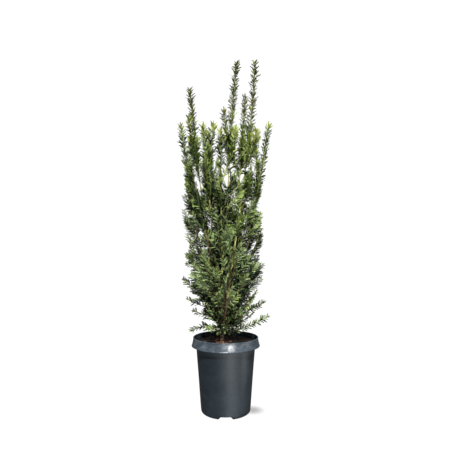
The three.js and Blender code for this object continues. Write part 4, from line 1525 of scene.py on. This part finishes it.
def build_pot():
    points, faces = pot_mesh()
    plastic = plastic_material()
    pot = make_piece("pot_shell", points, faces, [plastic], ["pot"], smooth=True)
    cut_drain_holes(pot)
    pot.data.set_sharp_from_angle(angle=math.radians(38))
    points, faces = soil_mesh()
    make_piece("soil_fill", points, faces, [soil_material()], ["soil"], smooth=True)
    for name, *rule, light, dark in SCRAPS:
        points, faces = scraps(*rule)
        make_piece(name, points, faces, [chip_material(name, light, dark)])


# Floor, light and camera
CAMERA = {"x": -0.002, "tilt": 4.0, "lens": 32.56, "sensor": 36}
FLOOR = {"radius": 0.135, "sides": 64}
SHADE = {"place": (0.072, 0.004), "reach": (0.046, 0.045), "white": 1.05, "dark": 0.5}
SURROUNDINGS = {"light": 0.13, "seen": 1.05}
SUNS = [  # name, way of its light, strength, breadth in degrees, whether gloss shows it
    ("key", (0.0, 0.8, -1.0), 6.2, 3, True),
    ("back", (-0.3, -0.8, -0.7), 3.8, 40, False),
]
LAMPS = [  # name, place, target, size, power, whether only gloss shows it
    ("top", (0.2, -1.2, 1.9), (0, 0, 0.5), (1.0, 0.8), 10, False),
    ("front", (0.42, -1.38, 0.4), (0, 0, 0.2), (0.12, 0.6), 26, True),
    ("side", (1.3, -0.35, -0.05), (0, 0, 0.1), (0.5, 0.5), 5, True),
    ("fill", (0.1, -1.5, 0.12), (0, 0, 0.2), (1.6, 0.5), 12, False),
    ("low", (0.6, -1.0, -0.5), (0, 0, 0.1), (1.0, 0.5), 3.2, False),
]


def floor_material():
    """White ground with the small soft shade that lies beside the pot's foot."""
    paint = Painter("floor_white", 0.9, 0.0)
    paint.shader.inputs["Base Color"].default_value = (0, 0, 0, 1)
    paint.shader.inputs["Emission Color"].default_value = (1, 1, 1, 1)
    (x, y), (wide, deep) = SHADE["place"], SHADE["reach"]
    near = paint.nodes.new("ShaderNodeTexGradient")
    near.gradient_type = "SPHERICAL"
    place = paint.mapped((1 / wide, 1 / deep, 1), (-x / wide, -y / deep, 0))
    paint.links.new(place, near.inputs["Vector"])
    light = paint.ramp(near.outputs["Fac"], [(0.0, SHADE["white"]), (0.9, SHADE["dark"])], "EASE")
    paint.links.new(light, paint.shader.inputs["Emission Strength"])
    return paint.material


def build_floor():
    mesh = bpy.data.meshes.new("floor")
    edge = circle(FLOOR["radius"], 0, FLOOR["sides"])
    mesh.from_pydata(edge.tolist(), [], [tuple(range(FLOOR["sides"]))])
    floor = put_in_scene("floor", mesh)
    floor.visible_diffuse = floor.visible_glossy = False
    mesh.materials.append(floor_material())


def build_surroundings():
    """White where the camera sees it, and a weak light from all sides."""
    world = bpy.data.worlds.new("studio")
    bpy.context.scene.world = world
    world.use_nodes = True
    nodes, links = world.node_tree.nodes, world.node_tree.links
    background = nodes["Background"]
    background.inputs["Color"].default_value = (1, 1, 1, 1)
    strength = nodes.new("ShaderNodeMapRange")
    strength.inputs["To Min"].default_value = SURROUNDINGS["light"]
    strength.inputs["To Max"].default_value = SURROUNDINGS["seen"]
    ray = nodes.new("ShaderNodeLightPath")
    links.new(ray.outputs["Is Camera Ray"], strength.inputs["Value"])
    links.new(strength.outputs["Result"], background.inputs["Strength"])


def add_light(name, kind, power, way):
    light = bpy.data.lights.new(name, kind)
    light.energy = power
    holder = put_in_scene(name, light)
    holder.rotation_euler = Vector(way).to_track_quat("-Z", "Y").to_euler()
    return light, holder


def build_lights():
    for name, way, strength, breadth, in_gloss in SUNS:
        sun, holder = add_light(name, "SUN", strength, way)
        sun.angle = math.radians(breadth)
        holder.visible_glossy = in_gloss
    for name, place, target, size, power, only_gloss in LAMPS:
        lamp, holder = add_light(name, "AREA", power, Vector(target) - Vector(place))
        lamp.shape, lamp.size, lamp.size_y = "RECTANGLE", *size
        holder.location = place
        holder.visible_diffuse = not only_gloss


def build_camera():
    scene = bpy.context.scene
    camera = bpy.data.cameras.new("camera")
    camera.lens, camera.sensor_width = CAMERA["lens"], CAMERA["sensor"]
    scene.camera = put_in_scene("camera", camera)
    scene.camera.location = (CAMERA["x"], -VIEW_DISTANCE * METRES, VIEW_HEIGHT * METRES)
    scene.camera.rotation_euler = (math.radians(90 + CAMERA["tilt"]), 0, 0)
    scene.view_settings.view_transform = "Standard"


build_limbs()
build_foliage()
build_pot()
build_floor()
build_surroundings()
build_lights()
build_camera()
